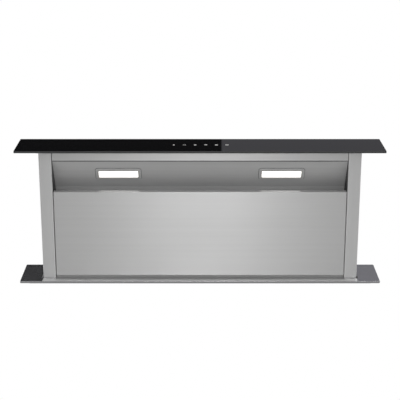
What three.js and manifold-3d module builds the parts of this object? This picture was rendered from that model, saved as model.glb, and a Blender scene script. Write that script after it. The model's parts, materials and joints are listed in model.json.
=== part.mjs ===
// A downdraft vent for a kitchen worktop. A riser with lamps, grease filters and a glass top with
// touch keys lifts out of a chassis that hangs in the cabinet, and a blower on the chassis draws the
// air down through the riser. Millimetres, +Z up, the front faces -Y. The sizes below count from the
// top of the worktop frame (z = 0) and the middle of the riser (x = 0, y = 0); the last lines stand
// the whole vent on its feet. "left" is -X.
import * as THREE from 'three';
import { mergeVertices } from 'three/addons/utils/BufferGeometryUtils.js';
import Module from 'manifold-3d';

// Clearances and sheet
const seat = 0.3; // between pieces that rest on each other
const running = 0.3; // between a shaft and its bore
const seam = 1; // between the panels and the columns
const sheet = 1.2;
const bendRadius = 1.2; // of the sheet's middle line

// Glass top and worktop frame
const glassWidth = 880;
const glassDepth = 115;
const glassThick = 5;
const frameWidth = 880;
const frameDepth = 115;
const frameThick = 5.2;
const edgeChamfer = 0.7;
const cornerRadius = 2;
const openingSideGap = 4; // from the riser to the frame's opening
const openingFrontGap = 2;
const frameRelief = 1.2; // of its underside over the chassis, so that only the rim rests on the worktop
const collarDrop = 15; // the frame's guide collar below its plate
const collarWall = 1.5;
const sealWidth = 6;
const sealInset = 1; // from the opening to the seal's inner edge

// Riser
const liftTravel = 320;
const closedGap = 4; // between frame and glass when the riser is down
const riserWidth = 770;
const riserDepth = 70;
const riserFootDepth = 120; // of the riser's underside, below the frame's top when it is up
const columnWidth = 31;
const columnRadius = 2.5;
const headRailHeight = 24.5;
const slotHeight = 78; // between the head rail and the front panel
const panelLift = 7; // the front panel's lower edge above the frame's top
const panelDepth = 14;
const panelRoll = 1.8; // middle-line radius of the panel's folded edges
const skirtInset = 6; // from the panel's face to the skirt under it
const panelLip = 12;
const studRadius = 2.5;
const studLength = 8;
const studInset = 25; // from the panel's top and bottom edges
const clipHeight = 24;
const clipThick = 2;
const clipHalf = 6; // the clip beyond the stud's axis
const footPlateThick = 3;
const footOpeningWidth = 680;
const footOpeningDepth = 54;

// Light panel and lamps
const lightSheet = 1;
const lightRun = 51.5; // how far the inclined sheet reaches back
const lightFall = 80; // and down
const lightLap = 18; // of its upper flange behind the head rail
const lightFlange = 26; // its lower flange
const lampSpacing = 394;
const lampWidth = 97;
const lampHeight = 27;
const lampBezel = 6.5;
const lampBezelThick = 1.2;
const lampDepth = 18;
const lampWall = 2;
const lensThick = 3;

// Touch board
const keyCount = 6;
const keyPitch = 25.4;
const keyRadius = 5;
const boardDepth = 46;
const boardThick = 1.6;
const boardDrop = 3; // below the head rail's top sheet
const boardMargin = 24; // beyond the outer keys

// Grease filters
const filterThick = 12;
const filterGap = 2; // between the two filters
const filterClear = 3; // from the filters to the clips
const filterRebate = 3; // the back panel's lips behind the filters
const filterFrame = 12;
const filterLap = 11; // over the light panel's lower flange
const filterSkin = 1;
const baffleCount = 9;
const baffleWidth = 22;
const baffleDepth = 4.5;
const ledgeLip = 14; // of the skirt's ledge behind the filters

// Chassis
const chassisWidth = 836;
const chassisDepth = 96;
const chassisDrop = 664; // its underside below the frame's top
const topFlange = 8;
const channelFlange = 20;
const dividerGap = 2; // from the riser to the dividers
const dividerFlange = 10;
const slotWidth = 34; // of the slot that a carriage's arm runs in
const slotMargin = 12;
const beltSpace = 32; // from the chassis' underside to the floor pan's underside
const panFlange = 14;
const coverFlange = 10;

// Lift drive
const screwRadius = 6;
const screwOffset = -12; // along Y
const journalRadius = 4;
const rodRadius = 5;
const rodOffset = 16; // along Y
const carriageHeight = 30;
const carriageLength = 54;
const carriageGap = 1.8; // from the carriage to the channel's walls
const armWidth = 28;
const armThick = 8;
const armReach = 42; // under the riser's foot plate
const nutRadius = 9;
const nutFlangeRadius = 12;
const nutFlangeThick = 4;
const bearingDrop = 84; // the upper bearing's underside below the frame's top
const bearingThick = 12;
const bearingLength = 56;
const bossRadius = 11;
const bossHeight = 8;
const pulleyRadius = 11;
const pulleyFlangeRadius = 13.5;
const pulleyFlange = 1.5;
const pulleyTeeth = 10;
const toothDepth = 1.2;
const beltWidth = 10;
const beltThick = 1.5;
const beltPlay = 0.5; // between the belt and a pulley's flanges
const pulleyDrop = 4; // from the floor pan to the pulleys
const motorX = -366;
const motorY = 25;
const motorRadius = 17.5;
const gearboxHeight = 46;
const motorHeight = 62;
const motorShaftRadius = 3;

// Blower
const blowerWidth = 400;
const blowerHeight = 315;
const blowerDepth = 210;
const blowerTop = 340; // its top below the frame's top
const blowerLapDepth = 14; // of the cover's rim
const boxRadius = 4;
const coverField = 4; // how far the cover's pressed field stands out
const coverFieldInset = 30;
const fieldRadius = 12;
const fanX = -50;
const fanDrop = 520; // the fan's axis below the frame's top
const wheelRadius = 86;
const bladeReach = 16;
const bladeCount = 24;
const bladeThick = 1;
const wheelWidth = 100;
const wheelPlate = 2;
const hubRadius = 14;
const hubLength = 26;
const shaftRadius = 4;
const scrollStart = 94; // the scroll's inner radius at its tongue
const scrollEnd = 148; // and at its mouth
const scrollWall = 2;
const scrollWidth = 124;
const tongueAngle = 28; // degrees above +X
const scrollInlet = 74;
const inletCollar = 20;
const fanMotorRadius = 46;
const fanMotorFlange = 64;
const fanMotorLength = 46;
const fanMotorBoss = 24;

// Outlet and dampers
const ductRadius = 74.5; // a 150 mm duct slides over it
const ductWall = 1.5;
const ductLength = 55;
const ductFlangeRadius = 82;
const ductFlangeThick = 2;
const ductBead = 1.5;
const spindleRadius = 1.8;
const spindlePlace = 14; // from the collar's flange
const flapThick = 1;
const flapGap = 1; // from a flap's rim to the collar
const knuckleWall = 1.5;
const knuckleLength = 16;

// Control box
const controlWidth = 160;
const controlHeight = 180;
const controlDepth = 62;
const controlWall = 2;
const controlRadius = 6;
const controlTop = 400;
const controlGap = 24; // from the blower
const lidThick = 2.5;
const glandRadius = 11;
const glandLength = 16;
const glandHexagon = 6;
const glandWall = 3.5;

// Feet and worktop clamps
const legHeight = 41;
const footRadius = 22;
const stemRadius = 5;
const footInsetX = 44;
const footInsetY = 14;
const blowerFootInset = 45;
const clampReach = 18;
const clampWidth = 40;
const clampDrop = 60; // the clamp's foot below the frame's top
const clampHeight = 50;
const clampThick = 3;
const worktopThick = 30;

// Heights and places that follow
const glassBottom = liftTravel + closedGap;
const railTop = glassBottom - seat;
const railBottom = glassBottom - headRailHeight;
const panelTop = railBottom - slotHeight;
const riserHalf = riserWidth / 2;
const riserFront = -riserDepth / 2;
const riserBack = riserDepth / 2;
const panelHalf = riserHalf - columnWidth - seam;
const columnInner = riserHalf - columnWidth;
const columnMiddle = riserHalf - columnWidth / 2;
const columnTop = railTop - sheet - seat;
const footPlateTop = -riserFootDepth + footPlateThick;
const columnBottom = footPlateTop + seat;
const openingHalfX = riserHalf + openingSideGap;
const openingHalfY = riserDepth / 2 + openingFrontGap;
const studHeights = [panelLift + studInset, panelTop - studInset];
const studX = panelHalf - panelLip / 2;
const lightTopY = riserFront + sheet + seat + lightSheet / 2;
const lightBackY = lightTopY + lightRun;
const lightBottom = railBottom - lightFall;
const lightTilt = Math.atan2(lightRun, lightFall);
const filterBack = lightBackY - lightSheet / 2 - seat;
const filterTop = lightBottom - lightFlange + filterLap;
const ledgeTop = panelLift - sheet / 2;
const filterBottom = ledgeTop + seat;
const filterWidth = studX - clipHalf - filterClear - filterGap / 2;
const chassisTop = -frameThick + frameRelief - seat;
const chassisBottom = -chassisDrop;
const chassisFront = -chassisDepth / 2;
const panTop = chassisBottom + beltSpace + sheet;
const dividerInner = riserHalf + dividerGap;
const dividerTop = -frameThick - collarDrop - seat;
const channelInner = dividerInner + sheet;
const channelOuter = chassisWidth / 2 - sheet;
const channelMiddle = (channelInner + channelOuter) / 2;
const carriageTop = -riserFootDepth - seat;
const pulleyTop = panTop - sheet - pulleyDrop;
const pulleyHeight = beltWidth + 2 * beltPlay + 2 * pulleyFlange;
const pulleyBottom = pulleyTop - pulleyHeight;
const blowerBack = chassisFront - seat;
const blowerFront = blowerBack - blowerDepth;
const blowerBottom = -blowerTop - blowerHeight;
const fanZ = -fanDrop;
const scrollBack = blowerBack - sheet - seat - inletCollar;
const scrollFront = scrollBack - scrollWidth;
const wheelFront = scrollFront + scrollWall + (scrollWidth - 2 * scrollWall - wheelWidth) / 2;
const tongue = THREE.MathUtils.degToRad(tongueAngle);
const mouthTop = fanZ + scrollEnd;
const mouthBottom = fanZ + scrollStart * Math.sin(tongue);
const ductY = (scrollBack + scrollFront) / 2;
const ductZ = (mouthTop + mouthBottom) / 2;
const ductStart = blowerWidth / 2 + seat;
const spindleX = ductStart + spindlePlace;
const sides = [['left', -1], ['right', 1]];

// ---------- shape tools ----------
const wasm = await Module();
wasm.setup();

function toSolid(geometry) {
  const bare = geometry.clone();
  bare.deleteAttribute('normal');
  bare.deleteAttribute('uv');
  const merged = mergeVertices(bare, 1e-4);
  const corners = merged.index.array;
  const triangles = [];
  for (let i = 0; i < corners.length; i += 3) {
    const [a, b, c] = [corners[i], corners[i + 1], corners[i + 2]];
    if (a !== b && b !== c && c !== a) triangles.push(a, b, c);
  }
  return new wasm.Manifold(new wasm.Mesh({
    numProp: 3,
    vertProperties: new Float32Array(merged.attributes.position.array),
    triVerts: new Uint32Array(triangles),
  }));
}

function toGeometry(solid) {
  const mesh = solid.getMesh();
  const geometry = new THREE.BufferGeometry();
  geometry.setAttribute('position', new THREE.BufferAttribute(mesh.vertProperties, 3));
  geometry.setIndex(new THREE.BufferAttribute(mesh.triVerts, 1));
  geometry.computeVertexNormals();
  return geometry;
}

function join(...pieces) {
  return toGeometry(pieces.map(toSolid).reduce((whole, piece) => whole.add(piece)));
}

function cut(piece, ...tools) {
  return toGeometry(tools.map(toSolid).reduce((rest, tool) => rest.subtract(tool), toSolid(piece)));
}

// A box between two places on each axis, in either order.
function block(x, y, z) {
  const size = [x, y, z].map(([from, to]) => Math.abs(to - from));
  const middle = [x, y, z].map(([from, to]) => (from + to) / 2);
  return new THREE.BoxGeometry(...size).translate(...middle);
}

// Extrudes a flat shape along an axis. The shape's own axes are X, Y for z; Y, Z for x; X, Z for y.
// An arc gets twice curveSegments steps.
function extrude(axis, shape, from, to, curveSegments = 1) {
  const depth = Math.abs(to - from);
  const start = Math.min(from, to);
  const geometry = new THREE.ExtrudeGeometry(shape, { depth, bevelEnabled: false, curveSegments });
  const [x, y, z] = [new THREE.Vector3(1, 0, 0), new THREE.Vector3(0, 1, 0), new THREE.Vector3(0, 0, 1)];
  const turn = new THREE.Matrix4();
  if (axis === 'x') turn.makeBasis(y, z, x).setPosition(start, 0, 0);
  if (axis === 'y') turn.makeBasis(x, z, y.negate()).setPosition(0, start + depth, 0);
  if (axis === 'z') turn.setPosition(0, 0, start);
  return geometry.applyMatrix4(turn);
}

function polygon(corners) {
  return new THREE.Shape(corners.map(([u, v]) => new THREE.Vector2(u, v)));
}

function roundedRectangle(width, height, radius, u = 0, v = 0) {
  const [left, right, low, high] = [u - width / 2, u + width / 2, v - height / 2, v + height / 2];
  const shape = new THREE.Shape();
  shape.absarc(right - radius, high - radius, radius, 0, Math.PI / 2);
  shape.absarc(left + radius, high - radius, radius, Math.PI / 2, Math.PI);
  shape.absarc(left + radius, low + radius, radius, Math.PI, 1.5 * Math.PI);
  shape.absarc(right - radius, low + radius, radius, 1.5 * Math.PI, 2 * Math.PI);
  return shape;
}

function ringShape(outer, inner) {
  outer.holes.push(inner);
  return outer;
}

function circle(radius, u = 0, v = 0) {
  return new THREE.Shape().absarc(u, v, radius, 0, 2 * Math.PI);
}

// The closed outline of a sheet bent along a middle line of corner points.
function bentSheet(corners, thick = sheet, radius = bendRadius, steps = 2) {
  const points = corners.map(([u, v]) => new THREE.Vector2(u, v));
  const left = [];
  const right = [];
  const mark = (point, normal) => {
    left.push(point.clone().addScaledVector(normal, thick / 2));
    right.push(point.clone().addScaledVector(normal, -thick / 2));
  };
  points.forEach((point, i) => {
    const into = i > 0 ? point.clone().sub(points[i - 1]).normalize() : null;
    const away = i < points.length - 1 ? points[i + 1].clone().sub(point).normalize() : null;
    const along = into ?? away;
    const normal = new THREE.Vector2(-along.y, along.x);
    if (!into || !away) {
      mark(point, normal);
      return;
    }
    const turn = Math.atan2(into.cross(away), into.dot(away));
    const hand = Math.sign(turn);
    const reach = radius * Math.tan(Math.abs(turn) / 2);
    const centre = point.clone().addScaledVector(into, -reach).addScaledVector(normal, hand * radius);
    for (let step = 0; step <= steps; step++) {
      const turned = normal.clone().rotateAround(new THREE.Vector2(), (turn * step) / steps);
      mark(centre.clone().addScaledVector(turned, -hand * radius), turned);
    }
  });
  return new THREE.Shape([...left, ...right.reverse()]);
}

// A body turned about +Z from a profile of [radius, height] points, listed upwards along its outside.
function turned(profile, segments = 20) {
  const points = profile.map(([radius, height]) => new THREE.Vector2(radius, height));
  return new THREE.LatheGeometry(points, segments).rotateX(Math.PI / 2);
}

// A turned body with a bore: the profile closes on itself.
function turnedRing(profile, segments = 16) {
  return turned([...profile, profile[0]], segments);
}

function pin(radius, from, to, segments = 12) {
  return turned([[0, from], [radius, from], [radius, to], [0, to]], segments);
}

// ---------- scene ----------
const vent = new THREE.Group();

function addPart(name, geometry, look, parent = vent) {
  const mesh = new THREE.Mesh(geometry, new THREE.MeshStandardMaterial(look));
  mesh.name = name;
  parent.add(mesh);
  return mesh;
}

const brushedSteel = { color: 0xb4b4b4, metalness: 0.9, roughness: 0.38 };
const blackGlass = { color: 0x0c0c0e, metalness: 0, roughness: 0.05 };
const frameSteel = { color: 0xa8a8ac, metalness: 1, roughness: 0.15 };
const galvanised = { color: 0xa9adb0, metalness: 0.8, roughness: 0.5 };
const machinedSteel = { color: 0xc4c6c8, metalness: 1, roughness: 0.25 };
const bronze = { color: 0xa7793f, metalness: 0.9, roughness: 0.4 };
const blackPlastic = { color: 0x1d1e20, metalness: 0, roughness: 0.5 };
const greyPlastic = { color: 0xa8a49e, metalness: 0, roughness: 0.45 };
const rubber = { color: 0x151515, metalness: 0, roughness: 0.85 };
const opal = { color: 0xffffff, metalness: 0, roughness: 0.3 };
const circuitBoard = { color: 0x1f4a2c, metalness: 0, roughness: 0.5 };
const filterAlloy = { color: 0xbfc3c6, metalness: 0.9, roughness: 0.35 };
const motorBlack = { color: 0x2a2b2e, metalness: 0.4, roughness: 0.45 };

// A plate with chamfered edges, lying flat.
function chamferedPlate(shape, bottom, thick) {
  const geometry = new THREE.ExtrudeGeometry(shape, {
    depth: thick - 2 * edgeChamfer,
    bevelThickness: edgeChamfer,
    bevelSize: edgeChamfer,
    bevelOffset: -edgeChamfer,
    bevelSegments: 1,
    curveSegments: 1,
  });
  return geometry.translate(0, 0, bottom + edgeChamfer);
}

function addGlassTop() {
  const outline = roundedRectangle(glassWidth, glassDepth, cornerRadius);
  addPart('glass_top', chamferedPlate(outline, glassBottom, glassThick), blackGlass);

  const innerWidth = 2 * (openingHalfX + sealInset);
  const innerDepth = 2 * (openingHalfY + sealInset);
  const outer = roundedRectangle(innerWidth + 2 * sealWidth, innerDepth + 2 * sealWidth, sealWidth);
  const inner = roundedRectangle(innerWidth, innerDepth, sealInset);
  const sealThick = closedGap - 2 * seat;
  const seal = extrude('z', ringShape(outer, inner), glassBottom - seat - sealThick, glassBottom - seat);
  addPart('glass_seal', seal, rubber);
}

// The head rail carries the glass: a folded front between the columns and a top sheet over them,
// with a window for the touch keys.
function addHeadRail() {
  const middleTop = railTop - sheet / 2;
  const fold = bentSheet([
    [riserFront + sheet / 2, railBottom],
    [riserFront + sheet / 2, middleTop],
    [riserBack - 2 * sheet, middleTop],
  ]);
  const top = block([-riserHalf, riserHalf], [riserFront + 2 * sheet, riserBack - 2 * sheet],
    [railTop - sheet, railTop]);
  const window = roundedRectangle(keyCount * keyPitch, 2 * keyRadius + 12, 4);
  const rail = cut(join(extrude('x', fold, -panelHalf, panelHalf), top),
    extrude('z', window, railTop - 2 * sheet, railTop + 1));
  addPart('head_rail', rail, brushedSteel);

  const boardTop = railTop - sheet - boardDrop;
  const boardWidth = (keyCount - 1) * keyPitch + 2 * boardMargin;
  const pieces = [extrude('z', roundedRectangle(boardWidth, boardDepth, 2), boardTop - boardThick, boardTop)];
  for (let key = 0; key < keyCount; key++) {
    const x = (key - (keyCount - 1) / 2) * keyPitch;
    pieces.push(pin(keyRadius, boardTop - 0.5, railTop, 8).translate(x, 0, 0));
  }
  for (const x of [-1, 1]) {
    for (const y of [-1, 1]) {
      const spacer = pin(2.5, boardTop - 0.5, railTop - sheet - seat, 4);
      pieces.push(spacer.translate(x * (boardWidth / 2 - 5), y * (boardDepth / 2 - 5), 0));
    }
  }
  addPart('touch_board', join(...pieces), circuitBoard);
}

// The inclined sheet behind the suction slot, with a cut-out for each lamp.
function addLightPanel() {
  const profile = bentSheet([
    [lightTopY, railBottom + lightLap],
    [lightTopY, railBottom],
    [lightBackY, lightBottom],
    [lightBackY, lightBottom - lightFlange],
  ], lightSheet);
  const lampBody = [lampWidth + 2 * lampWall, lampHeight + 2 * lampWall];
  const places = sides.map(([, sign]) => new THREE.Vector3(
    sign * lampSpacing / 2, (lightTopY + lightBackY) / 2, (railBottom + lightBottom) / 2));
  const holes = places.map(({ x, y, z }) => {
    const hole = roundedRectangle(lampBody[0] + 2 * seat, lampBody[1] + 2 * seat, 2);
    return extrude('y', hole, -lampDepth, lampDepth).rotateX(lightTilt).translate(x, y, z);
  });
  addPart('light_panel', cut(extrude('x', profile, -panelHalf, panelHalf), ...holes), brushedSteel);

  sides.forEach(([side], i) => {
    const lamp = new THREE.Group();
    lamp.position.copy(places[i]);
    lamp.rotation.x = lightTilt;
    vent.add(lamp);
    const front = -lightSheet / 2 - seat - lampBezelThick;
    const bezel = extrude('y', roundedRectangle(lampWidth + 2 * lampBezel, lampHeight + 2 * lampBezel, 2),
      front, front + lampBezelThick);
    const body = extrude('y', roundedRectangle(...lampBody, 2), front, lampDepth);
    const window = roundedRectangle(lampWidth + 2 * seat, lampHeight + 2 * seat, 1);
    const hollow = extrude('y', window, front - 1, lampDepth - lampWall);
    addPart(`lamp_housing_${side}`, cut(join(bezel, body), hollow), greyPlastic, lamp);
    const lensFront = front + seat;
    const lens = extrude('y', roundedRectangle(lampWidth, lampHeight, 1), lensFront, lensFront + lensThick);
    addPart(`lamp_lens_${side}`, lens, opal, lamp);
  });
}

// Each column is a closed tube with two clips that the front panel's studs press into.
function addColumns() {
  for (const [side, sign] of sides) {
    const x = sign * columnMiddle;
    const outer = roundedRectangle(columnWidth, riserDepth, columnRadius, x);
    const inner = roundedRectangle(columnWidth - 2 * sheet, riserDepth - 2 * sheet, columnRadius - sheet, x);
    const tube = extrude('z', ringShape(outer, inner), columnBottom, columnTop);
    const clipFront = riserFront + panelDepth + seat;
    const clipReach = [sign * (columnInner + sheet / 2), sign * (studX - clipHalf)];
    const clips = studHeights.map((height) => block(clipReach, [clipFront, clipFront + clipThick],
      [height - clipHeight / 2, height + clipHeight / 2]));
    const bores = studHeights.map((height) => extrude('y', circle(studRadius + running, sign * studX, height),
      clipFront - 1, clipFront + clipThick + 1, 5));
    addPart(`column_${side}`, cut(join(tube, ...clips), ...bores), brushedSteel);
  }
}

function addRiserShell() {
  const back = riserBack - sheet / 2;
  const edge = panelHalf - sheet / 2;
  const lip = lightBackY + (lightSheet + sheet) / 2 + seat;
  const tip = filterGap / 2 + filterWidth - filterRebate;
  const pan = bentSheet([[-tip, lip], [-edge, lip], [-edge, back], [edge, back], [edge, lip], [tip, lip]]);
  addPart('riser_back_panel', extrude('z', pan, columnBottom, columnTop), brushedSteel);

  // The skirt closes the front below the panel; its ledge carries the filters.
  const front = riserFront + skirtInset + sheet / 2;
  const ledge = ledgeTop - sheet / 2;
  const lipY = filterBack + seat + sheet / 2;
  const skirt = bentSheet([[front, columnBottom], [front, ledge], [lipY, ledge], [lipY, ledge + ledgeLip]]);
  addPart('riser_skirt', extrude('x', skirt, -panelHalf, panelHalf), galvanised);

  const plate = roundedRectangle(riserWidth, riserDepth, columnRadius);
  const opening = roundedRectangle(footOpeningWidth, footOpeningDepth, 5);
  const foot = extrude('z', ringShape(plate, opening), -riserFootDepth, footPlateTop);
  addPart('riser_foot_plate', foot, galvanised);
}

// The front panel is a pan with folded edges, inward lips and four studs.
function addFrontPanel() {
  const front = riserFront + sheet / 2;
  const back = riserFront + panelDepth;
  const faceProfile = bentSheet([
    [back, panelLift + sheet / 2],
    [front, panelLift + sheet / 2],
    [front, panelTop - sheet / 2],
    [back, panelTop - sheet / 2],
  ], sheet, panelRoll, 3);
  const pieces = [extrude('x', faceProfile, -panelHalf, panelHalf)];
  for (const [, sign] of sides) {
    const side = bentSheet([
      [sign * (panelHalf - sheet / 2), riserFront + panelRoll],
      [sign * (panelHalf - sheet / 2), back - sheet / 2],
      [sign * (panelHalf - panelLip), back - sheet / 2],
    ]);
    pieces.push(extrude('z', side, panelLift + sheet / 2, panelTop - sheet / 2));
    for (const height of studHeights) {
      const tip = studRadius / 2;
      const stud = turned([
        [0, 0], [studRadius, 0], [studRadius, studLength - tip], [tip, studLength], [0, studLength],
      ], 10);
      pieces.push(stud.rotateX(-Math.PI / 2).translate(sign * studX, back - sheet / 2, height));
    }
  }
  addPart('front_panel', join(...pieces), brushedSteel);
}

// A baffle filter: a frame, a row of trough-shaped baffles in front and a row behind that covers
// the gaps between them.
function addFilters() {
  const height = filterTop - filterBottom;
  const middleZ = (filterTop + filterBottom) / 2;
  const front = filterBack - filterThick;
  const pitch = (filterWidth - 2 * filterFrame) / baffleCount;
  for (const [side, sign] of sides) {
    const middleX = sign * (filterGap + filterWidth) / 2;
    const outer = roundedRectangle(filterWidth, height, 3, middleX, middleZ);
    const field = [filterWidth - 2 * filterFrame, height - 2 * filterFrame];
    const inner = roundedRectangle(...field, 1, middleX, middleZ);
    const pieces = [extrude('y', ringShape(outer, inner), front, filterBack)];
    const low = filterBottom + filterFrame - 1;
    const high = filterTop - filterFrame + 1;
    const half = baffleWidth / 2;
    const trough = (x, mouth, floor) => {
      const inner = floor + Math.sign(mouth - floor) * filterSkin;
      return polygon([
        [x - half, mouth], [x - half, floor], [x + half, floor], [x + half, mouth],
        [x + half - filterSkin, mouth], [x + half - filterSkin, inner],
        [x - half + filterSkin, inner], [x - half + filterSkin, mouth],
      ]);
    };
    for (let i = 0; i < baffleCount; i++) {
      const x = middleX + (i - (baffleCount - 1) / 2) * pitch;
      pieces.push(extrude('z', trough(x, front + 1 + baffleDepth, front + 1), low, high));
      if (i > 0) {
        const between = x - pitch / 2;
        const depth = filterBack - 1;
        pieces.push(extrude('z', trough(between, depth - baffleDepth, depth), low, high));
      }
    }
    addPart(`grease_filter_${side}`, join(...pieces), filterAlloy);
  }
}

// The frame that lies on the worktop, with a collar that guides the riser.
function addWorktopFrame() {
  const opening = roundedRectangle(2 * openingHalfX, 2 * openingHalfY, cornerRadius);
  const plate = chamferedPlate(ringShape(roundedRectangle(frameWidth, frameDepth, cornerRadius), opening),
    -frameThick, frameThick);
  const [halfX, halfY] = [chassisWidth / 2 + running, chassisDepth / 2 + running];
  const relief = block([-halfX, halfX], [-halfY, halfY], [-frameThick - 1, -frameThick + frameRelief]);
  const collarOuter = roundedRectangle(2 * (openingHalfX + collarWall), 2 * (openingHalfY + collarWall),
    cornerRadius + collarWall);
  const collarInner = roundedRectangle(2 * openingHalfX, 2 * openingHalfY, cornerRadius);
  const collar = extrude('z', ringShape(collarOuter, collarInner), -frameThick - collarDrop,
    -2 * edgeChamfer);
  addPart('worktop_frame', join(cut(plate, relief), collar), frameSteel);
}

function addChassisWalls() {
  const wallY = chassisFront + sheet / 2;
  const topZ = chassisTop - sheet / 2;
  const half = chassisWidth / 2;
  const wall = (sign) => extrude('x', bentSheet([
    [sign * wallY, chassisBottom], [sign * wallY, topZ], [sign * (wallY + topFlange), topZ],
  ]), -half, half);
  const inlet = extrude('y', circle(scrollInlet, fanX, fanZ), chassisFront - 1, chassisFront + 2 * sheet, 14);
  addPart('chassis_front', cut(wall(1), inlet), galvanised);
  addPart('chassis_back', wall(-1), galvanised);

  // The side channels and the dividers enclose the lift drive.
  const lapY = chassisDepth / 2 - sheet - seat - sheet / 2;
  const channelTop = chassisTop - sheet - seat;
  for (const [side, sign] of sides) {
    const web = sign * (half - sheet / 2);
    const tip = sign * (half - channelFlange);
    const channel = bentSheet([[tip, -lapY], [web, -lapY], [web, lapY], [tip, lapY]]);
    addPart(`chassis_side_${side}`, extrude('z', channel, chassisBottom, channelTop), galvanised);

    const inner = sign * (dividerInner + sheet / 2);
    const lip = sign * (dividerInner - dividerFlange);
    const divider = bentSheet([[lip, -lapY], [inner, -lapY], [inner, lapY], [lip, lapY]]);
    const slotLow = carriageTop - carriageHeight - liftTravel - slotMargin;
    const slotHigh = carriageTop + slotMargin;
    const slot = extrude('x', roundedRectangle(slotWidth, slotHigh - slotLow, slotMargin / 2, 0,
      (slotHigh + slotLow) / 2), sign * (dividerInner - 1), sign * (dividerInner + 2 * sheet));
    addPart(`divider_${side}`, cut(extrude('z', divider, panTop + seat, dividerTop), slot), galvanised);
  }
}

// The floor pan carries the drive; its bosses hold the lead screws' lower journals.
function addFloor() {
  const panY = chassisDepth / 2 - 1.5 * sheet - seat;
  const plateZ = panTop - sheet / 2;
  const tipX = chassisWidth / 2 - channelFlange - 2 * seat;
  const pan = extrude('x', bentSheet([
    [-panY, plateZ - panFlange], [-panY, plateZ], [panY, plateZ], [panY, plateZ - panFlange],
  ]), -tipX, tipX);
  const lapY = panY - sheet / 2 - 2 * seat - sheet;
  const plate = block([-channelOuter + seat, channelOuter - seat], [-lapY, lapY], [panTop - sheet, panTop]);
  const bosses = [];
  const bores = [];
  for (const [, sign] of sides) {
    const x = sign * channelMiddle;
    bosses.push(pin(bossRadius, panTop - sheet / 2, panTop + bossHeight).translate(x, screwOffset, 0));
    bores.push(pin(journalRadius + running, pulleyTop, panTop + bossHeight + 1).translate(x, screwOffset, 0));
  }
  bores.push(pin(motorShaftRadius + 3, pulleyTop, panTop + 1).translate(motorX, motorY, 0));
  addPart('floor_pan', cut(join(pan, plate, ...bosses), ...bores), galvanised);

  const coverY = chassisDepth / 2 - 2 * sheet - 2 * seat - sheet / 2;
  const coverZ = chassisBottom + sheet / 2;
  const tray = extrude('x', bentSheet([
    [-coverY, coverZ + coverFlange], [-coverY, coverZ], [coverY, coverZ], [coverY, coverZ + coverFlange],
  ]), -channelOuter + seat, channelOuter - seat);
  const stems = chassisFeet().map(([, x, y]) =>
    pin(stemRadius + running, chassisBottom - 1, chassisBottom + 3, 8).translate(x, y, 0));
  addPart('belt_cover', cut(tray, ...stems), galvanised);
}

function chassisFeet() {
  const x = chassisWidth / 2 - footInsetX;
  const y = chassisDepth / 2 - footInsetY;
  return [['front_left', -x, -y], ['front_right', x, -y], ['back_left', -x, y], ['back_right', x, y]];
}

function blowerFeet() {
  const x = blowerWidth / 2 - blowerFootInset;
  const y = blowerFront + blowerFootInset;
  return [['blower_left', -x, y], ['blower_right', x, y]];
}

// An adjustable foot: a moulded pad, a hexagon to turn it by and a stem.
function addFeet() {
  const floor = chassisBottom - legHeight;
  const addFoot = ([place, x, y], carrierBottom) => {
    const top = carrierBottom - seat;
    const pad = turned([
      [0, floor], [footRadius - 1, floor], [footRadius, floor + 1], [footRadius, floor + 6],
      [stemRadius + 3, floor + 14], [0, floor + 14],
    ], 12);
    const stem = pin(stemRadius, floor + 13, top + 5, 8);
    const nut = pin(stemRadius + 4, top - 6, top, 6);
    addPart(`foot_${place}`, join(pad, stem, nut).translate(x, y, 0), rubber);
  };
  chassisFeet().forEach((foot) => addFoot(foot, chassisBottom));
  blowerFeet().forEach((foot) => addFoot(foot, blowerBottom));
}

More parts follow.
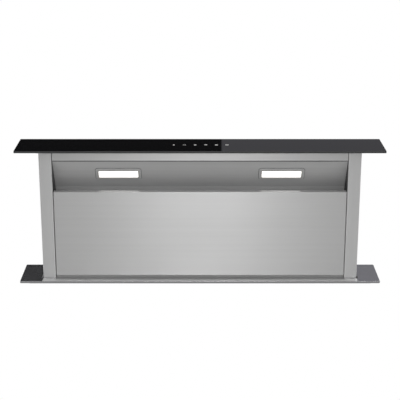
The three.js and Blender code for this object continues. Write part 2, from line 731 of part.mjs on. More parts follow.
// Carriages, nuts, screws, rods and their bearings, alike on both sides.
function addLift() {
  const channelWidth = channelOuter - channelInner;
  for (const [side, sign] of sides) {
    const x = sign * channelMiddle;
    const low = carriageTop - carriageHeight;
    const middleY = (screwOffset + rodOffset) / 2;
    const blockWidth = channelWidth - 2 * carriageGap;
    const body = extrude('z', roundedRectangle(blockWidth, carriageLength, 3, x, middleY), low, carriageTop);
    const arm = block([x, sign * (riserHalf - armReach)], [-armWidth / 2, armWidth / 2],
      [carriageTop - armThick, carriageTop]);
    const nutBore = pin(nutRadius + seat, low - 1, carriageTop + 1, 16).translate(x, screwOffset, 0);
    const rodBore = pin(rodRadius + running, low - 1, carriageTop + 1).translate(x, rodOffset, 0);
    addPart(`carriage_${side}`, cut(join(body, arm), nutBore, rodBore), blackPlastic);

    const flangeTop = low - seat;
    const bore = screwRadius + running;
    const nut = turnedRing([
      [bore, flangeTop - nutFlangeThick], [nutFlangeRadius, flangeTop - nutFlangeThick],
      [nutFlangeRadius, flangeTop], [nutRadius, flangeTop], [nutRadius, carriageTop], [bore, carriageTop],
    ]);
    addPart(`lead_nut_${side}`, nut.translate(x, screwOffset, 0), bronze);

    const bearingBottom = -bearingDrop;
    const bearingTop = bearingBottom + bearingThick;
    const plate = extrude('z', roundedRectangle(channelWidth - 2 * seat, bearingLength, 2, x, middleY),
      bearingBottom, bearingTop);
    const bores = [[journalRadius, screwOffset], [rodRadius, rodOffset]].map(([radius, y]) =>
      pin(radius + running, bearingBottom - 1, bearingTop + 1).translate(x, y, 0));
    addPart(`upper_bearing_${side}`, cut(plate, ...bores), blackPlastic);

    const rod = turned([
      [0, panTop + seat], [rodRadius, panTop + seat], [rodRadius, bearingTop + 1],
      [rodRadius - 1, bearingTop + 2], [0, bearingTop + 2],
    ], 16);
    addPart(`guide_rod_${side}`, rod.translate(x, rodOffset, 0), machinedSteel);

    const shoulder = panTop + bossHeight + seat;
    const screw = turned([
      [0, pulleyBottom - 2], [journalRadius, pulleyBottom - 2], [journalRadius, shoulder],
      [screwRadius, shoulder], [screwRadius, bearingBottom - 2], [journalRadius, bearingBottom - 1],
      [journalRadius, bearingTop + 1], [0, bearingTop + 1],
    ], 16);
    addPart(`lead_screw_${side}`, screw.translate(x, screwOffset, 0), machinedSteel);
    addPart(`screw_pulley_${side}`, pulley(journalRadius + seat).translate(x, screwOffset, 0), blackPlastic);
  }
}

// A toothed pulley between two flanges, bored for its shaft.
function pulley(bore) {
  const teeth = [];
  for (let i = 0; i < pulleyTeeth; i++) {
    for (const [share, radius] of [[0, pulleyRadius], [0.4, pulleyRadius], [0.55, pulleyRadius - toothDepth],
      [0.85, pulleyRadius - toothDepth]]) {
      const angle = (2 * Math.PI * (i + share)) / pulleyTeeth;
      teeth.push([radius * Math.cos(angle), radius * Math.sin(angle)]);
    }
  }
  const wheel = join(
    extrude('z', polygon(teeth), pulleyBottom + pulleyFlange / 2, pulleyTop - pulleyFlange / 2),
    pin(pulleyFlangeRadius, pulleyBottom, pulleyBottom + pulleyFlange, 16),
    pin(pulleyFlangeRadius, pulleyTop - pulleyFlange, pulleyTop, 16),
  );
  return bore ? cut(wheel, pin(bore, pulleyBottom - 1, pulleyTop + 1)) : wheel;
}

// The lift motor stands on the floor pan; its shaft turns the third pulley of the belt.
function addLiftMotor() {
  const foot = panTop + seat;
  const gearbox = foot + gearboxHeight;
  const top = gearbox + motorHeight;
  const boreTop = foot + gearboxHeight / 2;
  const bore = motorShaftRadius + running;
  const motor = turned([
    [0, boreTop], [bore, boreTop], [bore, foot], [motorRadius, foot], [motorRadius, gearbox],
    [motorRadius - 1.5, gearbox + 1], [motorRadius - 1.5, top - 3], [motorRadius - 4, top],
    [motorRadius / 3, top], [motorRadius / 3, top + 5], [0, top + 5],
  ], 16);
  addPart('lift_motor', motor.translate(motorX, motorY, 0), motorBlack);
  const shaft = join(pulley(0), pin(motorShaftRadius, pulleyTop - 1, boreTop - 1));
  addPart('motor_pulley', shaft.translate(motorX, motorY, 0), machinedSteel);
}

// The belt runs round both screw pulleys and the motor's.
function addBelt() {
  const pulleys = [[-channelMiddle, screwOffset], [channelMiddle, screwOffset], [motorX, motorY]];
  const centres = pulleys.map(([x, y]) => new THREE.Vector2(x, y));
  const loop = (radius) => {
    const path = new THREE.Shape();
    centres.forEach((centre, i) => {
      const before = centres[(i + centres.length - 1) % centres.length];
      const after = centres[(i + 1) % centres.length];
      const start = centre.clone().sub(before).angle() - Math.PI / 2;
      const end = after.clone().sub(centre).angle() - Math.PI / 2;
      path.absarc(centre.x, centre.y, radius, start, end);
    });
    return path;
  };
  const inside = pulleyRadius + running;
  const low = pulleyBottom + pulleyFlange + beltPlay;
  const belt = extrude('z', ringShape(loop(inside + beltThick), loop(inside)), low, low + beltWidth, 4);
  addPart('drive_belt', belt, rubber);
}

// ---------- blower ----------
function addBlowerBox() {
  const middle = (blowerBottom - blowerTop) / 2;
  const box = (grow, radius = boxRadius + grow) =>
    roundedRectangle(blowerWidth + 2 * grow, blowerHeight + 2 * grow, radius, 0, middle);
  const wrap = extrude('y', ringShape(box(0), box(-sheet)), blowerFront, blowerBack);
  const back = extrude('y', box(0), blowerBack - sheet, blowerBack);
  const inlet = extrude('y', circle(scrollInlet, fanX, fanZ), blowerBack - 2 * sheet, blowerBack + 1, 12);
  const outlet = extrude('x', circle(ductRadius - ductWall, ductY, ductZ), blowerWidth / 2 - 2 * sheet,
    blowerWidth / 2 + 1, 14);
  const stems = blowerFeet().map(([, x, y]) =>
    pin(stemRadius + running, blowerBottom - 1, blowerBottom + 3, 8).translate(x, y, 0));
  addPart('blower_housing', cut(join(wrap, back), inlet, outlet, ...stems), galvanised);

  // The cover is a lid with a pressed field.
  const face = blowerFront - seat - sheet;
  const rim = extrude('y', ringShape(box(seat + sheet), box(seat)), face, face + blowerLapDepth);
  const plate = extrude('y', box(seat + sheet), face, face + sheet);
  const fieldBox = (grow) => box(grow - coverFieldInset, fieldRadius + grow);
  const field = extrude('y', fieldBox(0), face - coverField, face + sheet, 2);
  const hollow = extrude('y', fieldBox(-sheet), face - coverField + sheet, face + sheet + 1, 2);
  addPart('blower_cover', cut(join(rim, plate, field), hollow), galvanised);
}

// The scroll's outline: a spiral from the tongue down and round to the top, then the mouth.
function scrollOutline(grow, mouthX, steps = 24) {
  const startAngle = Math.asin((scrollStart * Math.sin(tongue) - grow) / (scrollStart + grow));
  const endAngle = -1.5 * Math.PI;
  const corners = [[mouthX, mouthBottom - grow]];
  for (let step = 0; step <= steps; step++) {
    const angle = startAngle + ((endAngle - startAngle) * step) / steps;
    const share = (tongue - angle) / (tongue - endAngle);
    const radius = scrollStart + (scrollEnd - scrollStart) * share + grow;
    corners.push([fanX + radius * Math.cos(angle), fanZ + radius * Math.sin(angle)]);
  }
  corners.push([mouthX, mouthTop + grow]);
  return polygon(corners);
}

function addScroll() {
  const mouthX = blowerWidth / 2 - sheet - seat;
  const shell = extrude('y', scrollOutline(scrollWall, mouthX), scrollFront, scrollBack);
  const cavity = extrude('y', scrollOutline(0, mouthX + 1), scrollFront + scrollWall,
    scrollBack - scrollWall);
  const mouth = (radius) => circle(radius, fanX, fanZ);
  const collarRing = ringShape(mouth(scrollInlet + 3), mouth(scrollInlet));
  const collar = extrude('y', collarRing, scrollBack - scrollWall / 2, scrollBack + inletCollar, 14);
  const inlet = extrude('y', mouth(scrollInlet), scrollBack - 2 * scrollWall, scrollBack + 1, 14);
  const motorHole = extrude('y', mouth(fanMotorBoss + running), scrollFront - 1,
    scrollFront + 2 * scrollWall, 10);
  addPart('blower_scroll', cut(join(cut(shell, cavity), collar), inlet, motorHole), blackPlastic);
}

// A flat strip of even thickness along a list of points.
function strip(points, thick) {
  const middle = points.map(([u, v]) => new THREE.Vector2(u, v));
  const left = [];
  const right = [];
  middle.forEach((point, i) => {
    const [before, after] = [middle[Math.max(i - 1, 0)], middle[Math.min(i + 1, middle.length - 1)]];
    const along = after.clone().sub(before).normalize();
    const normal = new THREE.Vector2(-along.y, along.x);
    left.push(point.clone().addScaledVector(normal, thick / 2));
    right.push(point.clone().addScaledVector(normal, -thick / 2));
  });
  return new THREE.Shape([...left, ...right.reverse()]);
}

// The fan wheel: a back plate with hub and shaft, forward-curved blades and a ring at the inlet.
function addWheel() {
  const innerRadius = wheelRadius - bladeReach;
  const lean = (0.9 * 2 * Math.PI) / bladeCount;
  const blade = [0, 0.5, 1].map((share) => {
    const radius = innerRadius + share * (bladeReach - bladeThick / 2);
    const angle = -lean * share ** 2;
    return [radius * Math.cos(angle), radius * Math.sin(angle)];
  });
  const blades = [];
  for (let i = 0; i < bladeCount; i++) {
    const geometry = extrude('z', strip(blade, bladeThick), wheelPlate / 2, wheelWidth - wheelPlate / 2);
    blades.push(geometry.rotateZ((2 * Math.PI * i) / bladeCount));
  }
  const plate = turned([
    [0, -scrollWall - fanMotorLength / 2], [shaftRadius, -scrollWall - fanMotorLength / 2], [shaftRadius, 0],
    [wheelRadius, 0], [wheelRadius, wheelPlate], [hubRadius + 4, wheelPlate], [hubRadius, hubLength],
    [shaftRadius, hubLength], [shaftRadius, hubLength + 6], [0, hubLength + 6],
  ], bladeCount);
  const ring = turnedRing([
    [innerRadius + 2, wheelWidth - wheelPlate], [wheelRadius, wheelWidth - wheelPlate],
    [wheelRadius, wheelWidth], [innerRadius + 2, wheelWidth],
  ], bladeCount);
  const wheel = join(plate, ring, ...blades);
  addPart('impeller', wheel.rotateX(-Math.PI / 2).translate(fanX, wheelFront, fanZ), galvanised);
}

function addFanMotor() {
  const flangeTop = scrollFront - seat;
  const flangeBottom = flangeTop - 3;
  const end = flangeBottom - fanMotorLength;
  const bore = shaftRadius + running;
  const bossEnd = scrollFront + scrollWall + 4;
  const motor = turned([
    [0, end], [fanMotorRadius - 8, end], [fanMotorRadius, end + 8], [fanMotorRadius, flangeBottom],
    [fanMotorFlange, flangeBottom], [fanMotorFlange, flangeTop], [fanMotorBoss, flangeTop],
    [fanMotorBoss, bossEnd], [bore, bossEnd], [bore, end + 10], [0, end + 10],
  ], 20);
  addPart('blower_motor', motor.rotateX(-Math.PI / 2).translate(fanX, 0, fanZ), motorBlack);
}

// The outlet collar with a fixed spindle, and two half-round flaps that swing open with the air.
function addOutlet() {
  const bore = ductRadius - ductWall;
  const collar = turnedRing([
    [bore, 0], [ductFlangeRadius, 0], [ductFlangeRadius, ductFlangeThick], [ductRadius, ductFlangeThick],
    [ductRadius, ductLength - 20], [ductRadius + ductBead, ductLength - 16], [ductRadius, ductLength - 12],
    [ductRadius, ductLength], [bore, ductLength],
  ], 28).rotateY(Math.PI / 2).translate(ductStart, ductY, ductZ);
  const spindle = pin(spindleRadius, -bore - 0.5, bore + 0.5, 8).translate(spindleX, ductY, ductZ);
  addPart('outlet_collar', join(collar, spindle), blackPlastic);

  const knuckleBore = spindleRadius + running;
  const knuckleRadius = knuckleBore + knuckleWall;
  const hingeEdge = knuckleRadius + 0.5;
  for (const [place, sign, knuckleAt] of [['front', -1, 40], ['back', 1, 22]]) {
    const radius = bore - flapGap;
    const reach = Math.acos(hingeEdge / radius);
    const facing = sign > 0 ? 0 : Math.PI;
    const half = new THREE.Shape().absarc(0, 0, radius, facing - reach, facing + reach);
    const pieces = [extrude('x', half, -flapThick / 2, flapThick / 2, 7)];
    for (const z of [-knuckleAt, knuckleAt]) {
      const [low, high] = [z - knuckleLength / 2, z + knuckleLength / 2];
      const knuckle = [[knuckleBore, low], [knuckleRadius, low], [knuckleRadius, high], [knuckleBore, high]];
      const bridge = [sign * (knuckleBore + 0.5), sign * (hingeEdge + 1)];
      pieces.push(turnedRing(knuckle, 8));
      pieces.push(block([-flapThick / 2, flapThick / 2], bridge, [low, high]));
    }
    addPart(`damper_flap_${place}`, join(...pieces).translate(spindleX, ductY, ductZ), blackPlastic);
  }
}

// The control box hangs on the chassis beside the blower, with a cable gland in its underside.
function addControlBox() {
  const right = -blowerWidth / 2 - controlGap;
  const middleX = right - controlWidth / 2;
  const middleZ = -controlTop - controlHeight / 2;
  const bottom = -controlTop - controlHeight;
  const front = blowerBack - controlDepth;
  const box = (grow) => roundedRectangle(controlWidth + 2 * grow, controlHeight + 2 * grow,
    controlRadius + grow, middleX, middleZ);
  const shell = extrude('y', box(0), front, blowerBack);
  const hollow = extrude('y', box(-controlWall), front - 1, blowerBack - controlWall);
  const glandY = (front + blowerBack) / 2;
  const stem = glandRadius - glandWall;
  const glandHole = pin(stem + seat, bottom - 1, bottom + 2 * controlWall).translate(middleX, glandY, 0);
  addPart('control_box', cut(shell, hollow, glandHole), blackPlastic);

  const plate = extrude('y', box(0), front - seat - lidThick, front - seat);
  const inside = -controlWall - seat;
  const rim = extrude('y', ringShape(box(inside), box(inside - controlWall)), front - seat - 1, front + 6);
  addPart('control_box_lid', join(plate, rim), blackPlastic);

  // A cap, a hexagon under the box and a stem through its wall.
  const hexagonTop = bottom - seat;
  const hexagonBottom = hexagonTop - glandHexagon;
  const capBottom = hexagonTop - glandLength;
  const stemTop = bottom + 2 * controlWall + 3;
  const cap = glandRadius - 2;
  const bore = glandRadius - 2 * glandWall;
  const body = turnedRing([
    [bore, capBottom], [cap - 2, capBottom], [cap, capBottom + 3], [cap, hexagonTop - 1],
    [stem, hexagonTop - 1], [stem, stemTop], [bore, stemTop],
  ], 12);
  const hexagonBore = pin(stem - 1, hexagonBottom - 1, hexagonTop + 1);
  const hexagon = cut(pin(glandRadius, hexagonBottom, hexagonTop, 6), hexagonBore);
  addPart('cable_gland', join(body, hexagon).translate(middleX, glandY, 0), blackPlastic);
}

// An angle bracket on each side, with a jack screw that presses up on the worktop.
function addClamps() {
  for (const [side, sign] of sides) {
    const leg = sign * (chassisWidth / 2 + seat + clampThick / 2);
    const foot = -clampDrop - clampThick / 2;
    const bracket = extrude('y', bentSheet([
      [leg, foot - clampHeight], [leg, foot], [leg + sign * clampReach, foot],
    ], clampThick, clampThick), -clampWidth / 2, clampWidth / 2);
    const x = leg + sign * (clampReach - 8);
    const padTop = -frameThick - worktopThick - seat;
    const screw = turned([[0, -clampDrop - clampThick - 6], [4, -clampDrop - clampThick - 6], [4, padTop - 3],
      [8, padTop - 3], [8, padTop], [0, padTop]], 12);
    addPart(`worktop_clamp_${side}`, join(bracket, screw.translate(x, 0, 0)), galvanised);
  }
}

// ---------- the vent, standing on its feet ----------
addGlassTop();
addHeadRail();
addLightPanel();
addColumns();
addRiserShell();
addFrontPanel();
addFilters();
addWorktopFrame();
addChassisWalls();
addFloor();
addFeet();
addLift();
addLiftMotor();
addBelt();
addBlowerBox();
addScroll();
addWheel();
addFanMotor();
addOutlet();
addControlBox();
addClamps();

const depthMiddle = (blowerFront - seat - sheet - coverField + glassDepth / 2) / 2;
vent.position.set(0, -depthMiddle, chassisDrop + legHeight);
vent.updateMatrixWorld(true);

export default vent;
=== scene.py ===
import bpy
import bmesh
import json
import math
from mathutils import Matrix, Vector

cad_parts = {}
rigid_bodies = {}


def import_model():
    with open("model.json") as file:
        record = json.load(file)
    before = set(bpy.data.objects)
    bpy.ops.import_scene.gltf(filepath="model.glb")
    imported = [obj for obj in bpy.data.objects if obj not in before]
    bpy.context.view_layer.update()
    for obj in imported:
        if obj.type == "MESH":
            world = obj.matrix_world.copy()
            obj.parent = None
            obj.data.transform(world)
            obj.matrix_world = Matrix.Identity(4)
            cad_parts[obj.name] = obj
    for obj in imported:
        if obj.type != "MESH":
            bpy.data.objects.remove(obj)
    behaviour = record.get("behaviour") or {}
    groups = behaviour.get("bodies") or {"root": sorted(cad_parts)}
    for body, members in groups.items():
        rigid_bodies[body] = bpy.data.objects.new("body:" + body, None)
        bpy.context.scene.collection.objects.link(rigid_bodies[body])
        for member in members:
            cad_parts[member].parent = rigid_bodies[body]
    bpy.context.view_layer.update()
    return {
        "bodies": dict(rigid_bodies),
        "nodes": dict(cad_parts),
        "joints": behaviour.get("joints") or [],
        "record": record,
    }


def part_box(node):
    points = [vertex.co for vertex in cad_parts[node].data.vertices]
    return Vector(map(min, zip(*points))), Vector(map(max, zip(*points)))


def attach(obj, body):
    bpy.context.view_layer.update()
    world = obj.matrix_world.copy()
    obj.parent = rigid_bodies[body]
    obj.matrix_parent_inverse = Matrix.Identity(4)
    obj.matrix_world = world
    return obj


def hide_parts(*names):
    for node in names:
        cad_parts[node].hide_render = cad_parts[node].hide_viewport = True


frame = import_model()
nodes = frame["nodes"]
mm = 0.001
print("frame:", len(nodes), "nodes")


# ---- tools for materials ----

# An input takes a number, a vector, a colour of three parts, or another node's output.
def setInputs(tree, node, values):
    for name, value in values.items():
        socket = node.inputs[name]
        if isinstance(value, bpy.types.NodeSocket):
            tree.links.new(value, socket)
        else:
            socket.default_value = (*value, 1) if socket.type == "RGBA" else value


def addNode(tree, kind, values=None, **settings):  # gives the new node's outputs
    node = tree.nodes.new("ShaderNode" + kind)
    for name, setting in settings.items():
        setattr(node, name, setting)
    setInputs(tree, node, values or {})
    return node.outputs


def objectPlace(tree):
    return addNode(tree, "TexCoord")["Object"]


def surfaceNormal(tree):
    return addNode(tree, "NewGeometry")["Normal"]


def partsOf(tree, vector):
    return addNode(tree, "SeparateXYZ", {0: vector})


def mathOf(tree, operation, *values):
    return addNode(tree, "Math", dict(enumerate(values)), operation=operation)["Value"]


def vectorOf(tree, operation, *values):
    made = addNode(tree, "VectorMath", dict(enumerate(values)), operation=operation)
    return made["Value" if operation == "LENGTH" else "Vector"]


def blendOf(tree, factor, first, second, kind="FLOAT"):
    return addNode(tree, "Mix", {"Factor": factor, "A": first, "B": second}, data_type=kind)["Result"]


def tintOf(tree, factor, first, second):
    return blendOf(tree, factor, first, second, "RGBA")


def rangeOf(tree, value, low, high, fromLow=0.3, fromHigh=0.7):  # noise lies mostly from 0.3 to 0.7
    return addNode(tree, "MapRange", {"Value": value, "From Min": fromLow, "From Max": fromHigh,
                                      "To Min": low, "To Max": high})["Result"]


def aboutLevel(tree, value, level, half):
    return rangeOf(tree, value, level - half, level + half)


def noiseOf(tree, scale, detail, stretch=(1, 1, 1)):
    place = addNode(tree, "Mapping", {"Vector": objectPlace(tree), "Scale": stretch})["Vector"]
    return addNode(tree, "TexNoise", {"Vector": place, "Scale": scale, "Detail": detail})["Fac"]


def bumpOf(tree, value, distance, strength, normal=None):
    values = {"Height": value, "Distance": distance, "Strength": strength}
    if normal:
        values["Normal"] = normal
    return addNode(tree, "Bump", values)["Normal"]


def shaded(color, share):
    return tuple(min(part * share, 1) for part in color)


# ---- camera, stage and light ----

photoView = {"lens": 102.34, "sensor": 36, "place": (0, -2.54085, 1.739), "pitch": 17.7, "pixels": 400}


def addCamera():
    data = bpy.data.cameras.new("photoCamera")
    data.lens = photoView["lens"]
    data.sensor_width = photoView["sensor"]
    camera = bpy.data.objects.new("photoCamera", data)
    camera.location = photoView["place"]
    camera.rotation_euler = (math.radians(90 - photoView["pitch"]), 0, 0)
    bpy.context.scene.collection.objects.link(camera)
    bpy.context.scene.camera = camera
    bpy.context.view_layer.update()
    return camera


def newObject(name, bm, material):
    mesh = bpy.data.meshes.new(name)
    bm.to_mesh(mesh)
    bm.free()
    mesh.materials.append(material)
    made = bpy.data.objects.new(name, mesh)
    bpy.context.scene.collection.objects.link(made)
    return made


def newStageMaterial(name):
    material = bpy.data.materials.new(name)
    material.use_nodes = True
    material.node_tree.nodes.clear()
    return material, material.node_tree


def flatCard(width, height):
    bm = bmesh.new()
    bmesh.ops.create_grid(bm, x_segments=1, y_segments=1, size=0.5)
    bmesh.ops.scale(bm, vec=(width, height, 1), verts=bm.verts)
    return bm


def hideFrom(made, rays):
    for ray in rays:
        setattr(made, "visible_" + ray, False)


floorLook = {"size": 16, "color": (0.86, 0.86, 0.85), "mirrored": 0.72, "clearFrom": 0.45, "clearTo": 1.5}


def addFloor():
    look = floorLook
    material, tree = newStageMaterial("floorPaint")
    rays = addNode(tree, "LightPath")
    distance = vectorOf(tree, "LENGTH", objectPlace(tree))
    fade = rangeOf(tree, distance, 0, 1, look["clearFrom"], look["clearTo"])
    onlySeen = mathOf(tree, "MULTIPLY", fade, rays["Is Camera Ray"])
    # reflections see a darker floor, as in a studio
    color = tintOf(tree, rays["Is Glossy Ray"], look["color"], shaded(look["color"], look["mirrored"]))
    paint = addNode(tree, "BsdfDiffuse", {"Color": color})[0]
    white = addNode(tree, "Emission")[0]
    mix = addNode(tree, "MixShader", {0: onlySeen, 1: paint, 2: white})[0]
    addNode(tree, "OutputMaterial", {"Surface": mix})
    bm = flatCard(look["size"], look["size"])
    newObject("studioFloor", bm, material)


# The photograph is cut off under the worktop frame: a white card near the lens does the same.
maskLook = {"ahead": 0.25, "topRow": 283.4, "width": 0.13, "height": 0.06}


def addMaskCard(camera):
    look = maskLook
    material, tree = newStageMaterial("maskWhite")
    addNode(tree, "OutputMaterial", {"Surface": addNode(tree, "Emission")[0]})
    half = photoView["pixels"] / 2
    reach = look["ahead"] * photoView["sensor"] / 2 / photoView["lens"]
    top = -reach * (look["topRow"] - half) / half
    bm = flatCard(look["width"], look["height"])
    bmesh.ops.translate(bm, vec=(0, top - look["height"] / 2, -look["ahead"]), verts=bm.verts)
    bmesh.ops.transform(bm, matrix=camera.matrix_world, verts=bm.verts)
    card = newObject("maskCard", bm, material)
    hideFrom(card, ("diffuse", "glossy", "transmission", "volume_scatter", "shadow"))


# Only reflections see this card: the glass shows its bright right and dark left half.
reflectLook = {"y": 3.0, "low": 1.1, "high": 2.7, "half": 1.9, "color": (0.97, 0.96, 1.04),
               "edge": 0.109, "blur": 0.004, "left": 0.016, "right": 0.205}


def addReflectionCard():
    look = reflectLook
    material, tree = newStageMaterial("reflectionGrey")
    side = rangeOf(tree, partsOf(tree, objectPlace(tree))["X"], look["left"], look["right"],
                   look["edge"] - look["blur"], look["edge"] + look["blur"])
    glow = addNode(tree, "Emission", {"Color": look["color"], "Strength": side})[0]
    addNode(tree, "OutputMaterial", {"Surface": glow})
    bm = flatCard(2 * look["half"], look["high"] - look["low"])
    bmesh.ops.rotate(bm, matrix=Matrix.Rotation(math.radians(90), 3, "X"), verts=bm.verts)
    bmesh.ops.translate(bm, vec=(0, look["y"], (look["low"] + look["high"]) / 2), verts=bm.verts)
    card = newObject("reflectionCard", bm, material)
    hideFrom(card, ("camera", "diffuse", "transmission", "volume_scatter", "shadow"))


worldLook = {"seen": 1.0, "level": 0.52}


def addWorld():
    world = bpy.data.worlds.new("studioWorld")
    bpy.context.scene.world = world
    world.use_nodes = True
    tree = world.node_tree
    tree.nodes.clear()
    seen, light = (addNode(tree, "Background", {"Color": (1, 1, 1), "Strength": worldLook[key]})[0]
                   for key in ("seen", "level"))
    onlySeen = addNode(tree, "LightPath")["Is Camera Ray"]
    mix = addNode(tree, "MixShader", {0: onlySeen, 1: light, 2: seen})[0]
    addNode(tree, "OutputWorld", {"Surface": mix})


softboxes = {
    "frontReflector": {"place": (0.02, -3.0, 1.8), "aim": (0, 0.1, 0.85), "size": (0.55, 0.6), "power": 13.5,
                       "hidden": ("diffuse", "transmission")},
    "keySoftbox": {"place": (-0.8, -2.6, 3.2), "aim": (0, 0, 0.6), "size": (1.6, 1.2), "power": 40,
                   "hidden": ("glossy",)},
    "leftSoftbox": {"place": (-2.6, 0.4, 2.2), "aim": (0, 0, 0.6), "size": (1.2, 1.6), "power": 18},
    "rightSoftbox": {"place": (2.6, -0.6, 2.2), "aim": (0, 0, 0.6), "size": (1.2, 1.6), "power": 18},
    "backSoftbox": {"place": (0.2, 2.2, 3.4), "aim": (0, 0, 0.6), "size": (1.6, 1.0), "power": 26},
}


def addSoftboxes():
    for name, look in softboxes.items():
        data = bpy.data.lights.new(name, "AREA")
        data.shape = "RECTANGLE"
        data.size, data.size_y = look["size"]
        data.energy = look["power"]
        lamp = bpy.data.objects.new(name, data)
        hideFrom(lamp, look.get("hidden", ()))
        lamp.location = look["place"]
        toward = Vector(look["aim"]) - Vector(look["place"])
        lamp.rotation_euler = toward.to_track_quat("-Z", "Y").to_euler()
        bpy.context.scene.collection.objects.link(lamp)


camera = addCamera()
addFloor()
addMaskCard(camera)
addReflectionCard()
addWorld()
addSoftboxes()
bpy.context.scene.view_settings.view_transform = "Standard"
print("camera, stage and light are set")


# ---- finishes ----

def newFinish(name, color, metallic, roughness):
    material = bpy.data.materials.new(name)
    material.use_nodes = True
    tree = material.node_tree
    shader = tree.nodes["Principled BSDF"]
    setInputs(tree, shader, {"Base Color": color, "Metallic": metallic, "Roughness": roughness})
    return material, tree, shader


# Brushed sheet: fine lines along the grain, and a tangent across it for the long soft highlight.
brushLook = {"fine": (6, 900), "broad": (1.2, 140), "smudge": 7, "fineGloss": 0.03, "smudgeGloss": 0.015,
             "bump": (0.00002, 0.35), "tangentShift": (0.001, 0.002, 0.003)}


def brushedSteel(name, grain, color, roughness, anisotropy, streak, spread=None):
    look = brushLook
    material, tree, shader = newFinish(name, color, 1, roughness)
    fine, broad = (tuple(along if part else across for part in grain)
                   for along, across in (look["fine"], look["broad"]))
    fineLines = noiseOf(tree, 1, 3, fine)
    shade = rangeOf(tree, noiseOf(tree, 1, 2, broad), 0, 1)
    setInputs(tree, shader, {
        "Base Color": tintOf(tree, shade, shaded(color, 1 - streak), shaded(color, 1 + streak)),
        "Roughness": mathOf(tree, "ADD", aboutLevel(tree, fineLines, roughness, look["fineGloss"]),
                            aboutLevel(tree, noiseOf(tree, look["smudge"], 3), 0, look["smudgeGloss"])),
        "Normal": bumpOf(tree, fineLines, *look["bump"]),
        "Anisotropic": anisotropy,
        "Tangent": vectorOf(tree, "CROSS_PRODUCT", surfaceNormal(tree),
                            Vector(spread or grain) + Vector(look["tangentShift"])),
    })
    return material


# The frame is polished, and satin where it lies along the riser's front; there its colour is also lighter, a
# painted reflection of the riser's bright front. Its sides take a darker colour, painted shade.
frameFinish = {"color": (0.62, 0.62, 0.64), "paintedReflectionColor": (0.85, 0.85, 0.85), "edge": (0.34, 0.34, 0.35),
               "polished": (0.2, 0.02), "satin": (0.5, 0.04), "lines": (6, 900, 900), "half": 385,
               "behind": 68, "top": (0.8, 0.95), "sideShadeTurn": (0.2, 0.7)}


def polishedFrame():
    look = frameFinish
    material, tree, shader = newFinish("frameSteel", look["color"], 1, look["polished"][0])
    place, normal = partsOf(tree, objectPlace(tree)), partsOf(tree, surfaceNormal(tree))
    half, behind = look["half"] * mm, look["behind"] * mm
    along = rangeOf(tree, mathOf(tree, "ABSOLUTE", place["X"]), 1, 0, half, half + mm)
    ahead = rangeOf(tree, place["Y"], 1, 0, behind, behind + mm)
    onTop = mathOf(tree, "MULTIPLY", along, rangeOf(tree, normal["Z"], 0, 1, *look["top"]))
    satinAndPaintedReflection = mathOf(tree, "MULTIPLY", onTop, ahead)
    lines = noiseOf(tree, 1, 3, look["lines"])
    polished, satin = (aboutLevel(tree, lines, *look[key]) for key in ("polished", "satin"))
    # painted reflection: a lighter colour where the riser stands before the frame
    color = tintOf(tree, satinAndPaintedReflection, look["color"], look["paintedReflectionColor"])
    setInputs(tree, shader, {
        # painted shade: faces turned away from up take the darker edge colour
        "Base Color": tintOf(tree, rangeOf(tree, normal["Z"], 0, 1, *look["sideShadeTurn"]), look["edge"], color),
        "Roughness": blendOf(tree, satinAndPaintedReflection, polished, satin),
    })
    return material


glassFinish = {"face": (0.002, 0.002, 0.0022), "roughness": 0.02, "ior": 1.5, "cloud": 5,
               "haze": (0.012, 0.035), "flat": (0.55, 0.85), "grain": 700, "groundRoughness": 0.5,
               "ground": ((0.02, 0.021, 0.022), (0.038, 0.039, 0.04))}


def blackGlass():  # polished faces, and a ground grey edge all round
    look = glassFinish
    material, tree, shader = newFinish("blackGlass", look["face"], 0, look["roughness"])
    upward = mathOf(tree, "ABSOLUTE", partsOf(tree, surfaceNormal(tree))["Z"])
    polished = rangeOf(tree, upward, 0, 1, *look["flat"])
    ground = tintOf(tree, noiseOf(tree, look["grain"], 3), *look["ground"])
    haze = rangeOf(tree, noiseOf(tree, look["cloud"], 4), *look["haze"])
    setInputs(tree, shader, {
        "Base Color": tintOf(tree, polished, ground, look["face"]),
        "Roughness": blendOf(tree, polished, look["groundRoughness"], haze),
        "IOR": look["ior"],
    })
    return material


# Zinc flakes differ a little in shade, gloss and tilt.
galvanisedLook = {"flakes": 120, "tilt": 0.07, "dark": (0.5, 0.515, 0.525), "light": (0.68, 0.695, 0.705),
                  "gloss": (0.38, 0.52), "flakeShare": 0.6, "cloud": 6, "waves": 60, "bump": (0.0001, 0.25)}


def galvanisedSheet():
    look = galvanisedLook
    material, tree, shader = newFinish("galvanisedSheet", look["light"], 0.9, 0.45)
    spangle = addNode(tree, "TexVoronoi", {"Vector": objectPlace(tree), "Scale": look["flakes"]})["Color"]
    flake = addNode(tree, "SeparateColor", {"Color": spangle})
    cloud = rangeOf(tree, noiseOf(tree, look["cloud"], 4), 0, 1 - look["flakeShare"])
    shade = mathOf(tree, "MULTIPLY_ADD", flake["Red"], look["flakeShare"], cloud)
    centred = vectorOf(tree, "SUBTRACT", spangle, (0.5, 0.5, 0.5))
    tilted = vectorOf(tree, "MULTIPLY_ADD", centred, (look["tilt"],) * 3, surfaceNormal(tree))
    even = vectorOf(tree, "NORMALIZE", tilted)
    setInputs(tree, shader, {
        "Base Color": tintOf(tree, shade, look["dark"], look["light"]),
        "Roughness": rangeOf(tree, flake["Green"], *look["gloss"], 0, 1),
        "Normal": bumpOf(tree, noiseOf(tree, look["waves"], 3), *look["bump"], even),
    })
    return material


plasticLook = {"cloud": 14, "dark": 0.88, "light": 1.14, "gloss": 0.05, "bump": (0.00006, 0.5)}


